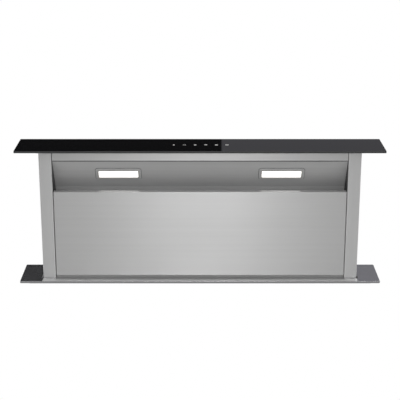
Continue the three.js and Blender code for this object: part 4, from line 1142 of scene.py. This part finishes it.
# A sheet of even cells, each with a rounded slot through it.
def piercedSheet(columns, rows, cell, slot, thick):
    bm = bmesh.new()
    tile = loft([(*cell, 0, 0), (*slot, 0)], segments=4)
    caps = [face for face in tile.faces if len(face.verts) > 4 or face.calc_area() > 0.9 * cell[0] * cell[1]]
    bmesh.ops.delete(tile, geom=caps, context="FACES_ONLY")
    addShape(bm, tile, [at((column - (columns - 1) / 2) * cell[0], (row - (rows - 1) / 2) * cell[1])
                        for column in range(columns) for row in range(rows)])
    bmesh.ops.remove_doubles(bm, verts=bm.verts, dist=0.01)
    bmesh.ops.recalc_face_normals(bm, faces=bm.faces)
    bmesh.ops.solidify(bm, geom=bm.faces[:], thickness=thick)
    return bm


# The cover is a pressed lid with a raised field and a slotted vent in it.
blowerCover = {"wall": 1.2, "rise": 4, "rim": 18, "rimRadius": 5.5, "inset": 30, "fieldRadius": 14,
               "vent": (176, 92, 5), "slot": roundPlan(5, 15), "cell": (22, 11.5), "columns": 8, "rows": 8,
               "grille": 1, "grilleGap": 1.1, "ease": 1.1, "screwInset": 14}


def addBlowerCover():
    look = blowerCover
    low, high, middle = placeOf("blower_cover")
    wall, rise, rim, inset = look["wall"], look["rise"], look["rim"], look["inset"]
    corner, radius, vent = look["rimRadius"], look["fieldRadius"], look["vent"]
    size = Vector((high.x - low.x, high.z - low.z))

    def ring(shrink, radius, level):
        return size.x - 2 * shrink, size.y - 2 * shrink, radius, level

    shell = loft([
        ring(0, corner, -rim), ring(0, corner, -rise), ring(inset, radius, -rise),
        ring(inset + 3, radius - 2, 0), (*vent, 0), (*vent, -wall), ring(inset + 4, radius - 3, -wall),
        ring(inset + 1, radius - 1, -rise - wall), ring(wall, corner - wall, -rise - wall),
        ring(wall, corner - wall, -rim),
    ], True)
    easeEdges(shell, look["ease"], 3, 30, lambda edge: abs(edge.verts[0].co.y) > 0.6 * vent[1]
              and min(point.co.z for point in edge.verts) > -rise - 0.1)
    face = towardFront((middle.x, low.y, middle.z))
    grille = piercedSheet(look["columns"], look["rows"], look["cell"], look["slot"], look["grille"])
    x, z = size.x / 2 - look["screwInset"], size.y / 2 - look["screwInset"]
    heads = [facing((middle.x + x, low.y + rise, middle.z + z), (0, -1, 0))
             for x, z in cornersOf(x, z) + [(-x, 0), (x, 0)] + cornersOf(size.x / 6, z)]
    bm = bmesh.new()
    addShape(bm, shell, [face])
    addShape(bm, grille, [face @ at(z=-wall - look["grilleGap"])])
    addShape(bm, hexScrew(), heads, 1)
    replaceNode("blower_cover", bm, ("galvanised", "zinc_plate"), "chassis")


# Flanges fold out from the blower's housing and hold it to the chassis.
blowerFlange = {"width": 18, "thick": 1.2, "radius": 3, "ease": 0.25, "gap": 0.2, "lap": 0.5, "short": 20,
                "sideLength": 270, "topCount": 5, "sideCount": 4, "screwEnd": 20, "topShift": 2}


def addBlowerFlanges():
    look = blowerFlange
    low, high, middle = placeOf("blower_housing")
    width, thick, end = look["width"], look["thick"], look["screwEnd"]
    y, out = high.y - look["gap"], width / 2 - look["lap"]
    wide, tall = high.x - low.x - look["short"], look["sideLength"]
    strips = [(wide, width, 0, high.z + out, wide / 2 - end, 0, look["topCount"])]
    strips += [(width, tall, sign * (high.x + out), middle.z, 0, tall / 2 - end, look["sideCount"])
               for sign in bothSigns]
    bm = bmesh.new()
    heads = []
    for length, height, x, z, across, up, count in strips:
        plate = plateOf((length, height, look["radius"]), 0, thick, look["ease"], 1)
        addShape(bm, plate, [towardFront((x, y, z))])
        z += look["topShift"] if across else 0
        start, stop = (x - across, y - thick, z - up), (x + across, y - thick, z + up)
        heads += facingRow(start, stop, count, (0, -1, 0))
    addShape(bm, hexScrew(0.85), heads, 1)
    newPiece("blowerFlanges", bm, ("galvanised", "zinc_plate"), "chassis")


outlet = {"bore": 73, "wall": 74.5, "flange": (82, 2), "length": 55, "spindle": 1.8, "spindleAt": 14,
          "screwCircle": 78.6, "screws": 8}


def outletAxis():
    low, _, middle = placeOf("outlet_collar")
    return Vector((low.x, middle.y, middle.z))


def addOutlet():
    look = outlet
    start = outletAxis()
    bore, wall, end = look["bore"], look["wall"], look["length"]
    edge, thick = look["flange"]
    collar = turned([
        (bore, 0), (edge, 0), (edge, thick, 0.4), (wall, thick, 0.9), (wall, 9.5), (75.4, 10.2), (75.4, 11.8),
        (wall, 12.5), (wall, 34.8), (75.2, 35.6), (75.9, 37.6), (75.9, 40.4), (75.2, 42.4), (wall, 43.2),
        (wall, end - 0.6), (wall - 0.5, end), (bore + 0.4, end), (bore, end - 0.5),
    ], 96, True)
    reach = bore + 0.3
    spindle = tube(0, look["spindle"], -reach, reach, 20)
    bm = bmesh.new()
    addShape(bm, collar, [facing(start, (1, 0, 0))])
    addShape(bm, spindle, [Matrix.Translation(start) @ at(look["spindleAt"])], 1)
    heads = []
    for turn in around(look["screws"], 0.5):
        across = turnBy(90) @ turnBy(90, "X") @ turn @ Vector((look["screwCircle"], 0, 0))
        heads.append(facing(start + Vector((thick, 0, 0)) + across, (1, 0, 0)))
    addShape(bm, hexScrew(0.62), heads, 1)
    replaceNode("outlet_collar", bm, ("black_plastic", "zinc_plate"), "chassis")


# Each flap is half a disc with ribs on its outer face and two knuckles on the spindle.
flaps = {"radius": 72, "thick": 1, "edge": 4.1, "rib": 1.4, "ribEdge": 9, "ribAngles": (-50, -25, 0, 25, 50),
         "ribFoot": 0.25, "ribTop": 0.05, "spoke": (7, 71), "arches": ((69.8, 71.4, 96), (38, 39.4, 72)),
         "archFoot": 0.3, "knuckle": (2.1, 3.6), "length": 16, "web": 3, "webAt": 4, "frontAt": 40,
         "backAt": 22}


def addFlaps():
    look = flaps
    place = Matrix.Translation(outletAxis()) @ at(outlet["spindleAt"])
    rib, length, face = look["rib"], look["length"], look["thick"] / 2
    (start, stop), foot, top = look["spoke"], face - look["ribFoot"], face + rib + look["ribTop"]
    for name, sign in (("front", -1), ("back", 1)):
        knuckles = [(0, y, 0) for y in (-look[name + "At"], look[name + "At"])]
        spoke = blockOf((stop - start, rib, top - foot), ((start + stop) / 2, 0, (foot + top) / 2))
        ribs = bmesh.new()
        addShape(ribs, spoke, [turnBy(angle) for angle in look["ribAngles"]])
        for inner, outer, steps in look["arches"]:
            addShape(ribs, tube(inner, outer, face - look["archFoot"], face + rib, steps))
        cutFlat(ribs, look["ribEdge"])
        half = tube(0, look["radius"], -face, face, 96)
        cutFlat(half, look["edge"])
        addShape(half, ribs)
        knuckle = tube(*look["knuckle"], -length / 2, length / 2, 24)
        addShape(half, knuckle, [towardFront(spot) for spot in knuckles])
        web = blockOf((look["web"], length, 2 * face), (look["webAt"], 0, 0))
        addShape(half, web, [at(*spot) for spot in knuckles])
        turn = Matrix(((0, 0, 1), (sign, 0, 0), (0, sign, 0))).to_4x4()
        bm = bmesh.new()
        addShape(bm, half, [place @ turn])
        replaceNode("damper_flap_" + name, bm, "black_plastic", name + "_flap")


addBlowerCover()
addBlowerFlanges()
addOutlet()
addFlaps()
print("blower box and outlet are dressed")


# ---- lift drive ----

leadScrew = {"thread": (6, 1, 10), "starts": 4, "from": 82.5, "to": 619, "journal": 4, "ease": 0.5}


def addLeadScrews():
    look = leadScrew
    for side, _ in sides:
        low, high, middle = placeOf("lead_screw_" + side)
        bm = threaded(*look["thread"], look["from"], look["to"], look["starts"], 16)
        for bottom, top in ((low.z, look["from"] + 1), (look["to"] - 1, high.z)):
            addShape(bm, tube(0, look["journal"], bottom, top, ease=look["ease"]))
        replaceNode("lead_screw_" + side, moved(bm, middle.x, middle.y), "machined_steel", side + "_screw")


guideRod = {"radius": 5, "groove": 0.4, "grooveAt": 1.6, "grooveWidth": 1.2, "ease": 1}


def addGuideRods():
    look = guideRod
    radius, ease = look["radius"], look["ease"]
    floor = radius - look["groove"]
    for side, _ in sides:
        low, high, middle = placeOf("guide_rod_" + side)
        upper = high.z - look["grooveAt"]
        lower = upper - look["grooveWidth"]
        bm = turned([(0, low.z), (radius, low.z, ease), (radius, lower), (floor, lower), (floor, upper),
                     (radius, upper), (radius, high.z, ease), (0, high.z)], 48)
        replaceNode("guide_rod_" + side, moved(bm, middle.x, middle.y), "machined_steel", "chassis")


# Toothed belt pulley between two flanges.
beltPulley = {"teeth": 10, "radius": 11, "depth": 1.2, "flange": 13.5, "flangeThick": 1.5, "ease": 0.5,
              "play": 0.1, "motorShaft": 3, "shaftSunk": 0.3}


def toothedPulley(low, high, bore):
    look = beltPulley
    thick = look["flangeThick"]
    bm = bmesh.new()
    rim = bmesh.ops.create_circle(bm, segments=8 * look["teeth"], radius=look["radius"])["verts"]
    for step, point in enumerate(rim):
        if step % 8 > 3:
            point.co *= 1 - look["depth"] / look["radius"]
    bmesh.ops.create_circle(bm, segments=8 * look["teeth"], radius=bore)
    bmesh.ops.bridge_loops(bm, edges=bm.edges[:])
    thickened(bm, low + thick / 2, high - thick / 2)
    for bottom in (low, high - thick):
        addShape(bm, tube(bore, look["flange"], bottom, bottom + thick, 48, look["ease"]))
    return bm


def addPulleys():
    look = beltPulley
    shaft = look["motorShaft"]
    for side, _ in sides:
        low, high, middle = placeOf("screw_pulley_" + side)
        bm = moved(toothedPulley(low.z, high.z, leadScrew["journal"] + look["play"]), middle.x, middle.y)
        replaceNode("screw_pulley_" + side, bm, "black_plastic", side + "_screw")
    pulleyTop = high.z
    low, high, middle = placeOf("motor_pulley")
    bm = toothedPulley(low.z, pulleyTop, shaft - look["play"])
    addShape(bm, tube(0, shaft, low.z + look["shaftSunk"], high.z, ease=look["ease"]))
    replaceNode("motor_pulley", moved(bm, middle.x, middle.y), "machined_steel", "motor_shaft")


# Geared motor: a cast gearbox with two grooves, a drawn can with a seam band, and an end cap with two tags.
liftMotor = {"radius": 17.5, "gearbox": 46, "grooves": (14, 30), "can": 16, "cap": 13.5, "boss": 5.8,
             "bore": (3.3, 23), "tag": (0.9, 4.2, 5.4), "tagAt": 9.4}


def addLiftMotor():
    look = liftMotor
    low, high, middle = placeOf("lift_motor")
    radius, can, boss, base, top = look["radius"], look["can"], look["boss"], low.z, high.z
    bore, depth = look["bore"]
    seam = base + look["gearbox"]
    profile = [(0, base + depth), (bore, base + depth), (bore, base), (radius, base, 0.6)]
    for groove in look["grooves"]:
        z = base + groove
        profile += [(radius, z), (radius - 0.7, z + 0.6), (radius - 0.7, z + 2.4), (radius, z + 3)]
    profile += [(radius, seam, 0.8), (can, seam), (can, seam + 8), (can + 0.5, seam + 8.5),
                (can + 0.5, seam + 11.5), (can, seam + 12), (can, top - 10), (can - 1, top - 7),
                (look["cap"], top - 5), (boss, top - 5, 0.6), (boss, top, 0.5), (0, top)]
    bm = turned(profile, 64)
    for sign in bothSigns:
        addShape(bm, barOf(look["tag"], (sign * look["tagAt"], 0, top - 3)), finish=1)
    replaceNode("lift_motor", moved(bm, middle.x, middle.y), ("motor_black", "machined_steel"), "chassis")


leadNut = {"bore": 6.3, "body": 9, "flange": 12, "flangeThick": 4, "ease": 0.5, "chamfer": 0.6}


def addLeadNuts():
    look = leadNut
    bore, body, flange, ease, chamfer = (look[key] for key in ("bore", "body", "flange", "ease", "chamfer"))
    for side, _ in sides:
        low, high, middle = placeOf("lead_nut_" + side)
        top = low.z + look["flangeThick"]
        bm = turned([(bore, low.z, chamfer), (flange, low.z, ease), (flange, top, ease), (body, top),
                     (body, high.z, ease), (bore, high.z, chamfer)], 48, True)
        replaceNode("lead_nut_" + side, moved(bm, middle.x, middle.y), "bronze", "riser")


# A moulded block in two halves round its bores, and a web that joins them.
boredBlocks = {"ease": 1, "topRadius": 0.8, "web": 8, "webInset": (0.7, 0.9)}


def boredBlock(width, length, radius, low, high, bores, middle):
    look = boredBlocks
    ease = look["ease"]
    bm = bmesh.new()
    half = length / 2
    for sign, (bore, y) in zip(bothSigns, bores):
        centre, own, ring = (0, sign * half / 2), (0, y - middle), roundPlan(2 * bore)
        top = (width - 2 * ease, half - 2 * ease, radius - look["topRadius"])
        addShape(bm, loft([(width, half, radius, low, centre), (width, half, radius, high - ease, centre),
                           (*top, high, centre), (*ring, high, own), (*ring, low, own)], True, 8))
    side, end = look["webInset"]
    web = (width - 2 * side, look["web"], high - low - 2 * end)
    addShape(bm, barOf(web, (0, 0, (low + high) / 2)))
    return bm


# Its arm and two tapered gussets reach in under the riser.
carriage = {"radius": 3, "nutBore": 9.3, "rodBore": 5.3, "arm": 28, "armThick": 8, "overlap": 1,
            "gusset": (4, 20), "gussetTip": 2, "gussetAt": 11, "gussetShort": 6, "ease": 0.6,
            "screws": (9, 24)}


def addCarriages():
    look = carriage
    thick, overlap, short = look["armThick"], look["overlap"], look["gussetShort"]
    tall = look["gusset"][1]
    armY = middleOf("riser_foot_plate").y
    for side, sign in sides:
        node = "carriage_" + side
        low, high, middle = placeOf(node)
        screw, rod = middleOf("lead_screw_" + side), middleOf("guide_rod_" + side)
        bores = ((look["nutBore"], screw.y), (look["rodBore"], rod.y))
        width = 2 * (max(abs(low.x), abs(high.x)) - abs(rod.x))
        block = boredBlock(width, high.y - low.y, look["radius"], low.z, high.z, bores, middle.y)
        bm = bmesh.new()
        addShape(bm, block, [at(rod.x, middle.y)])
        inner, edge = min(abs(low.x), abs(high.x)), abs(rod.x) - width / 2 + overlap
        reach, under = edge - inner, high.z - thick
        armPlace = (sign * (edge + inner) / 2, armY, high.z - thick / 2)
        addShape(bm, barOf((reach, look["arm"], thick), armPlace))
        gusset = blockOf((reach - short, *look["gusset"]))
        for corner in gusset.verts:
            if corner.co.z < 0 and corner.co.x * sign < 0:
                corner.co.z = tall / 2 - look["gussetTip"]
        easeEdges(gusset, look["ease"])
        x, z = sign * (edge + inner + short) / 2, under + overlap - tall / 2
        addShape(bm, gusset, [at(x, armY + turn * look["gussetAt"], z) for turn in bothSigns])
        heads = [facing((sign * (inner + along), armY, under), (0, 0, -1)) for along in look["screws"]]
        addShape(bm, hexScrew(0.8), heads, 1)
        replaceNode(node, bm, ("black_plastic", "zinc_plate"), "riser")


upperBearing = {"screwBore": 4.3, "rodBore": 5.3, "radius": 2, "bushWall": 3, "bushRise": 0.6}


def addUpperBearings():
    look = upperBearing
    wall, rise = look["bushWall"], look["bushRise"]
    for side, _ in sides:
        node = "upper_bearing_" + side
        low, high, middle = placeOf(node)
        top = high.z
        bores = ((look["screwBore"], middleOf("lead_screw_" + side).y),
                 (look["rodBore"], middleOf("guide_rod_" + side).y))
        block = boredBlock(high.x - low.x, high.y - low.y, look["radius"], low.z, top, bores, middle.y)
        bm = bmesh.new()
        addShape(bm, block, [at(middle.x, middle.y)])
        for bore, y in bores:
            bush = turned([(bore, top - 1), (bore + wall, top - 1), (bore + wall, top + rise / 2),
                           (bore + wall - 0.4, top + rise), (bore, top + rise)], 36, True)
            addShape(bm, bush, [at(middle.x, y)], 1)
        replaceNode(node, bm, ("black_plastic", "bronze"), "chassis")


addLeadScrews()
addGuideRods()
addPulleys()
addLiftMotor()
addLeadNuts()
addCarriages()
addUpperBearings()
print("lift drive is dressed")


# ---- fan ----

fanWheel = {"radius": 86, "width": 100, "reach": 16, "blades": 40, "bladeThick": 0.8, "plate": 2, "hub": 14,
            "hubLength": 26, "shaft": 4, "shaftEnd": 6, "bend": (78, -4, 8.6)}


def addFanWheel():
    look = fanWheel
    low, high, middle = placeOf("impeller")
    width, plate, hub, shaft = look["width"], look["plate"], look["hub"], look["shaft"]
    outer, step = look["radius"], look["hubLength"]
    inner, tip = outer - look["reach"] + 2, step + look["shaftEnd"]
    start = high.y - width
    back = low.y - start
    wheel = turned([
        (0, back), (shaft, back, 0.5), (shaft, 0), (outer, 0, 0.8), (outer, plate), (44, plate),
        (40, plate + 5), (26, plate + 9), (hub + 3, plate + 9), (hub, plate + 12), (hub, step, 1),
        (shaft, step), (shaft, tip, 0.5), (0, tip),
    ], 80)
    addShape(wheel, turned([(inner, width - plate), (outer, width - plate), (outer, width, 0.5),
                            (inner, width, 0.5)], 80, True))
    x, y, bend = look["bend"]
    swing = math.asin(-y / bend)
    blade = bmesh.new()
    point = blade.verts.new((x + bend * math.cos(swing), y + bend * math.sin(swing), 0))
    bmesh.ops.spin(blade, geom=[point], cent=(x, y, 0), axis=(0, 0, 1), angle=math.pi - 2 * swing, steps=6,
                   use_merge=False)
    pulled = bmesh.ops.extrude_edge_only(blade, edges=blade.edges[:])["geom"]
    bmesh.ops.translate(blade, vec=(0, 0, width - plate), verts=pointsIn(pulled))
    bmesh.ops.recalc_face_normals(blade, faces=blade.faces)
    bmesh.ops.solidify(blade, geom=blade.faces[:], thickness=look["bladeThick"])
    addShape(wheel, moved(blade, z=plate / 2), around(look["blades"]))
    bm = bmesh.new()
    addShape(bm, wheel, [facing((middle.x, start, middle.z), (0, 1, 0))])
    replaceNode("impeller", bm, "galvanised", "fan_wheel", name="fanWheel")


# The scroll widens from its tongue down and round to the mouth.
fanScroll = {"start": 94, "end": 148, "wall": 2, "width": 124, "tongue": 28, "inlet": 74, "motorHole": 24.3,
             "steps": 96, "inset": 0.2, "collar": (3, 2.2, 4)}


def scrollLine(grow, mouthX, centre):
    look = fanScroll
    tongue, last = math.radians(look["tongue"]), -1.5 * math.pi
    rise = look["start"] * math.sin(tongue)
    first = math.asin((rise - grow) / (look["start"] + grow))
    points = [(mouthX, centre.y + rise - grow)]
    for step in range(look["steps"] + 1):
        angle = first + (last - first) * step / look["steps"]
        share = (tongue - angle) / (tongue - last)
        radius = look["start"] + (look["end"] - look["start"]) * share + grow
        points.append((centre.x + radius * math.cos(angle), centre.y + radius * math.sin(angle)))
    return points + [(mouthX, centre.y + look["end"] + grow)]


def addScroll():
    look = fanScroll
    low, high = boxOf("blower_scroll")
    wheel = middleOf("impeller")
    centre = Vector((wheel.x, wheel.z))
    wall, width, inlet = look["wall"], look["width"], look["inlet"]
    shell = bmesh.new()
    lines = []
    for grow in (0, wall):
        points = [shell.verts.new((x, z, 0)) for x, z in scrollLine(grow, high.x, centre)]
        lines += [shell.edges.new(pair) for pair in zip(points, points[1:])]
    bmesh.ops.bridge_loops(shell, edges=lines)
    thickened(shell, look["inset"], width - look["inset"])
    for level, hole in ((0, inlet), (width - wall, look["motorHole"])):
        plate = bmesh.new()
        points = [plate.verts.new((x, z, 0)) for x, z in scrollLine(wall, high.x, centre)]
        for pair in zip(points, points[1:] + points[:1]):
            plate.edges.new(pair)
        rim = bmesh.ops.create_circle(plate, segments=96, radius=hole)["verts"]
        bmesh.ops.translate(plate, vec=(*centre, 0), verts=rim)
        bmesh.ops.triangle_fill(plate, use_beauty=True, edges=plate.edges[:], normal=(0, 0, 1))
        addShape(shell, thickened(plate, level, level + wall))
    depth = high.y - low.y - width
    rim, neck, root = (inlet + more for more in look["collar"])
    collar = turned([(inlet, -depth), (rim, -depth), (rim, 1 - depth), (neck, 2 - depth), (neck, -1),
                     (root, 0.5), (inlet, 0.5)], 96, True)
    addShape(shell, collar, [at(*centre)])
    bm = bmesh.new()
    addShape(bm, shell, [towardFront((0, high.y - depth, 0))])
    replaceNode("blower_scroll", bm, "black_plastic", "chassis", 40, "fanScroll")


fanMotor = {"radius": 44, "fins": 30, "fin": (3, 1.6), "finOut": 0.45, "finFrom": 10, "finTo": 3,
            "flange": 64, "flangeThick": 3, "flangeDown": 6.3, "boss": 24, "bore": 4.3, "screws": 4,
            "screwCircle": 56}


def addFanMotor():
    look = fanMotor
    low, high, middle = placeOf("blower_motor")
    radius, bore, flange, boss = (look[key] for key in ("radius", "bore", "flange", "boss"))
    end, tip, top = low.y, high.y, high.y - look["flangeDown"]
    bottom = top - look["flangeThick"]
    body = turned([
        (0, end + 10), (bore, end + 10), (bore, tip), (boss, tip, 0.6), (boss, top), (flange, top, 0.6),
        (flange, bottom, 0.6), (radius, bottom, 4), (radius, end + 8), (radius - 2.4, end + 3),
        (radius - 8, end), (22, end), (20, end + 1.6), (13, end + 1.6), (11, end), (0, end),
    ], 80)
    finLow, finHigh = end + look["finFrom"], bottom - look["finTo"]
    fin = barOf((*look["fin"], finHigh - finLow), (radius + look["finOut"], 0, (finHigh + finLow) / 2))
    addShape(body, fin, around(look["fins"]))
    place = facing((middle.x, 0, middle.z), (0, 1, 0))
    bm = bmesh.new()
    addShape(bm, body, [place])
    circle = at(look["screwCircle"], 0, bottom) @ turnBy(180, "X")
    addShape(bm, hexScrew(), [place @ turn @ circle for turn in around(look["screws"], 0.5)], 1)
    replaceNode("blower_motor", bm, ("motor_black", "zinc_plate"), "chassis", name="fanMotor")


addFanWheel()
addScroll()
addFanMotor()
print("fan is dressed")


# ---- grease filters ----

greaseFilter = {"frame": 12, "radius": 3, "fieldRadius": 1, "ease": 0.7, "skin": 0.9, "baffles": 9,
                "width": 22, "floor": 1.6, "mouth": 5.5, "bend": 1.6, "overlap": 1, "rivetInset": 6,
                "handle": 22, "wire": 1.8, "reach": 0.45, "gripSunk": 0.6, "lug": (4, 1.6), "lugSunk": 0.1}


def wireHandle():
    look = greaseFilter
    grip = bmesh.new()
    ring = bmesh.ops.create_circle(grip, segments=14, radius=look["wire"], cap_ends=False)["verts"]
    bmesh.ops.rotate(grip, matrix=Matrix.Rotation(math.radians(90), 3, "X"), verts=ring)
    moved(grip, look["handle"])
    bmesh.ops.spin(grip, geom=grip.verts[:] + grip.edges[:], cent=(0, 0, 0), axis=(0, 0, 1),
                   angle=-math.pi, steps=28, use_merge=False)
    bmesh.ops.scale(grip, vec=(1, look["reach"], 1), verts=grip.verts)
    bmesh.ops.holes_fill(grip, edges=grip.edges[:], sides=0)
    bmesh.ops.recalc_face_normals(grip, faces=grip.faces)
    return grip


def addFilters():
    look = greaseFilter
    frame, half, inset = look["frame"], look["width"] / 2, look["rivetInset"]
    upright = Matrix(((0, 1, 0), (0, 0, 1), (1, 0, 0))).to_4x4()  # pulls a folded sheet upwards
    for side, _ in sides:
        node = "grease_filter_" + side
        low, high, middle = placeOf(node)
        width, height, thick = high.x - low.x, high.z - low.z, high.y - low.y
        plan = (width, height, look["radius"])
        field = (width - 2 * frame, height - 2 * frame, look["fieldRadius"])
        border = loft([(*plan, 0), (*plan, thick), (*field, thick), (*field, 0)], True)
        easeEdges(border, look["ease"], 3)
        bm = bmesh.new()
        addShape(bm, border, [towardFront((middle.x, high.y, middle.z))])
        pitch = field[0] / look["baffles"]
        bottom, top = low.z + frame - look["overlap"], high.z - frame + look["overlap"]
        for count, face, inward in ((look["baffles"], low.y, 1), (look["baffles"] - 1, high.y, -1)):
            floor, mouth = face + inward * look["floor"], face + inward * look["mouth"]
            trough = foldedSheet([(-half, mouth), (-half, floor), (half, floor), (half, mouth)],
                                 look["skin"], look["bend"], bottom, top, 4)
            addShape(bm, trough, [at(middle.x + (step - (count - 1) / 2) * pitch) @ upright
                                  for step in range(count)])
        corners = [facing((middle.x + x, low.y, middle.z + z), (0, -1, 0))
                   for x, z in cornersOf(width / 2 - inset, height / 2 - inset)]
        addShape(bm, rivet(0.8), corners, 1)
        z = low.z + frame / 2
        addShape(bm, wireHandle(), [at(middle.x, low.y + look["gripSunk"], z)], 1)
        radius, rise = look["lug"]
        lug = turned([(0, 0), (radius, 0), (radius, rise, 0.6), (0, rise)], 24)
        addShape(bm, lug, [facing((middle.x + sign * look["handle"], low.y + look["lugSunk"], z), (0, -1, 0))
                           for sign in bothSigns], 1)
        replaceNode(node, bm, ("filter_alloy", "machined_steel"), "filters")


# Flush screws hold the riser's back panel and the head rail; the frame's opening leaves little room.
riserScrews = {"radius": 3.1, "rise": 0.35, "socket": 0.3, "inset": 8, "lowest": 612, "highest": 1008,
               "count": 7, "railReach": 230, "railCount": 3}


def addRiserScrews():
    look = riserScrews
    high = boxOf("riser_back_panel")[1]
    radius, rise, top, reach = look["radius"], look["rise"], look["highest"], look["railReach"]
    socket = rise - look["socket"]
    head = turned([(0, socket), (1.1, socket), (1.25, rise), (radius - 0.5, rise), (radius, 0), (0, 0)], 24)
    places = facingRow((-reach, high.y, top), (reach, high.y, top), look["railCount"], (0, 1, 0))
    for sign in bothSigns:
        x = sign * (high.x - look["inset"])
        places += facingRow((x, high.y, look["lowest"]), (x, high.y, top), look["count"], (0, 1, 0))
    bm = bmesh.new()
    addShape(bm, head, places)
    newPiece("riserScrews", bm, "machined_steel", "riser")


addFilters()
addRiserScrews()
print("filters and riser fixings are dressed")


# ---- control box ----

controlBox = {"radius": 6, "wall": 2, "ribs": 7, "rib": (0.9, 1.6), "ribOut": 0.4, "ribShort": 14,
              "ribEnd": 24, "ribEase": 0.3, "lug": (18, 16, 4), "lugThick": 3, "lugEase": 0.4, "lugInset": 22,
              "lugOut": 6}


def addControlBox():
    look = controlBox
    low, high, middle = placeOf("control_box")
    plan = (high.x - low.x, high.z - low.z, look["radius"])
    width, height, depth, thick = plan[0], plan[1], high.y - low.y, look["lugThick"]
    inner = grown(plan, -look["wall"])
    place = towardFront((middle.x, high.y, middle.z))
    bm = bmesh.new()
    addShape(bm, loft([(*inner, look["wall"]), (*inner, depth), (*plan, depth), (*plan, 0)]), [place])
    rib = blockOf((*look["rib"], depth - look["ribShort"]), (0, 0, depth / 2))
    easeEdges(rib, look["ribEase"], 1)
    x, y = width / 2 + look["ribOut"], height / 2 - look["ribEnd"]
    addShape(bm, rib, [place @ Matrix.Translation(spot) for sign in bothSigns
                       for spot in rowOf((sign * x, -y, 0), (sign * x, y, 0), look["ribs"])])
    lugs = [place @ at(x, y) for x, y in cornersOf(width / 2 - look["lugInset"], height / 2 + look["lugOut"])]
    addShape(bm, plateOf(look["lug"], 0, thick, look["lugEase"]), lugs)
    addShape(bm, hexScrew(0.85), [lug @ at(z=thick) for lug in lugs], 1)
    replaceNode("control_box", bm, ("black_plastic", "zinc_plate"), "chassis")


controlLid = {"lip": 8.5, "thick": 2.5, "ease": 0.9, "field": 12, "fieldRadius": 4, "slots": 6,
              "slot": (3, 40, 1.49), "slotLevels": (-0.05, 0.15), "slotPitch": 8, "slotsDown": 38,
              "screwInset": 6}


def addControlLid():
    look = controlLid
    low, high, middle = placeOf("control_box_lid")
    plan = (high.x - low.x, high.z - low.z, controlBox["radius"])
    inner = grown(plan, -controlBox["wall"])
    ease, field, inset = look["ease"], look["field"], look["screwInset"]
    face = towardFront((middle.x, low.y, middle.z))
    raised = (plan[0] - 2 * field, plan[1] - 2 * field, look["fieldRadius"])
    lid = loft([(*inner, -look["lip"]), (*inner, -look["thick"]), (*plan, -look["thick"]), (*plan, -ease),
                (*grown(plan, -ease), 0), (*raised, 0), (*grown(raised, -1), -ease)])
    slot = loft([(*look["slot"], level - ease) for level in look["slotLevels"]], segments=4)
    bm = bmesh.new()
    addShape(bm, lid, [face])
    addShape(bm, slot, [face @ at((step - (look["slots"] - 1) / 2) * look["slotPitch"], -look["slotsDown"])
                        for step in range(look["slots"])], 2)
    head = turned([(0, 0), (2.6, 0), (2.6, 0.4), (1.9, 0.85), (1.1, 0.9), (0.9, 0.5), (0, 0.5)], 20)
    screws = cornersOf(plan[0] / 2 - inset, plan[1] / 2 - inset)
    addShape(bm, head, [face @ at(x, y, -ease) for x, y in screws], 1)
    replaceNode("control_box_lid", bm, ("black_plastic", "zinc_plate", "rubber"), "chassis")


cableGland = {"hexagon": 11, "hexHeight": 6, "gap": 0.3, "cap": 9, "bore": 4, "neck": 7.5, "ribs": 16,
              "rib": (0.9, 1.1), "ribInset": 0.4, "ribFrom": 3.4, "ribGap": 0.6}


def addCableGland():
    look = cableGland
    low, high, middle = placeOf("cable_gland")
    bore, cap, neck = look["bore"], look["cap"], look["neck"]
    bottom = boxOf("control_box")[0].z - look["gap"]
    ribLow, ribHigh = low.z + look["ribFrom"], bottom - look["hexHeight"] - look["ribGap"]
    body = turned([(bore, low.z), (cap - 3, low.z), (cap - 1.2, low.z + 1.2), (cap - 0.5, ribLow),
                   (cap - 0.5, bottom - 5), (neck, bottom - 1), (neck, high.z), (bore, high.z)], 36, True)
    rib = blockOf((*look["rib"], ribHigh - ribLow), (cap - look["ribInset"], 0, (ribHigh + ribLow) / 2))
    bm = bmesh.new()
    addShape(bm, body)
    addShape(bm, hexagonNut(look["hexagon"], bottom - look["hexHeight"], bottom))
    addShape(bm, rib, around(look["ribs"]))
    replaceNode("cable_gland", moved(bm, middle.x, middle.y), "black_plastic", "chassis")


addControlBox()
addControlLid()
addCableGland()
print("control box is dressed")
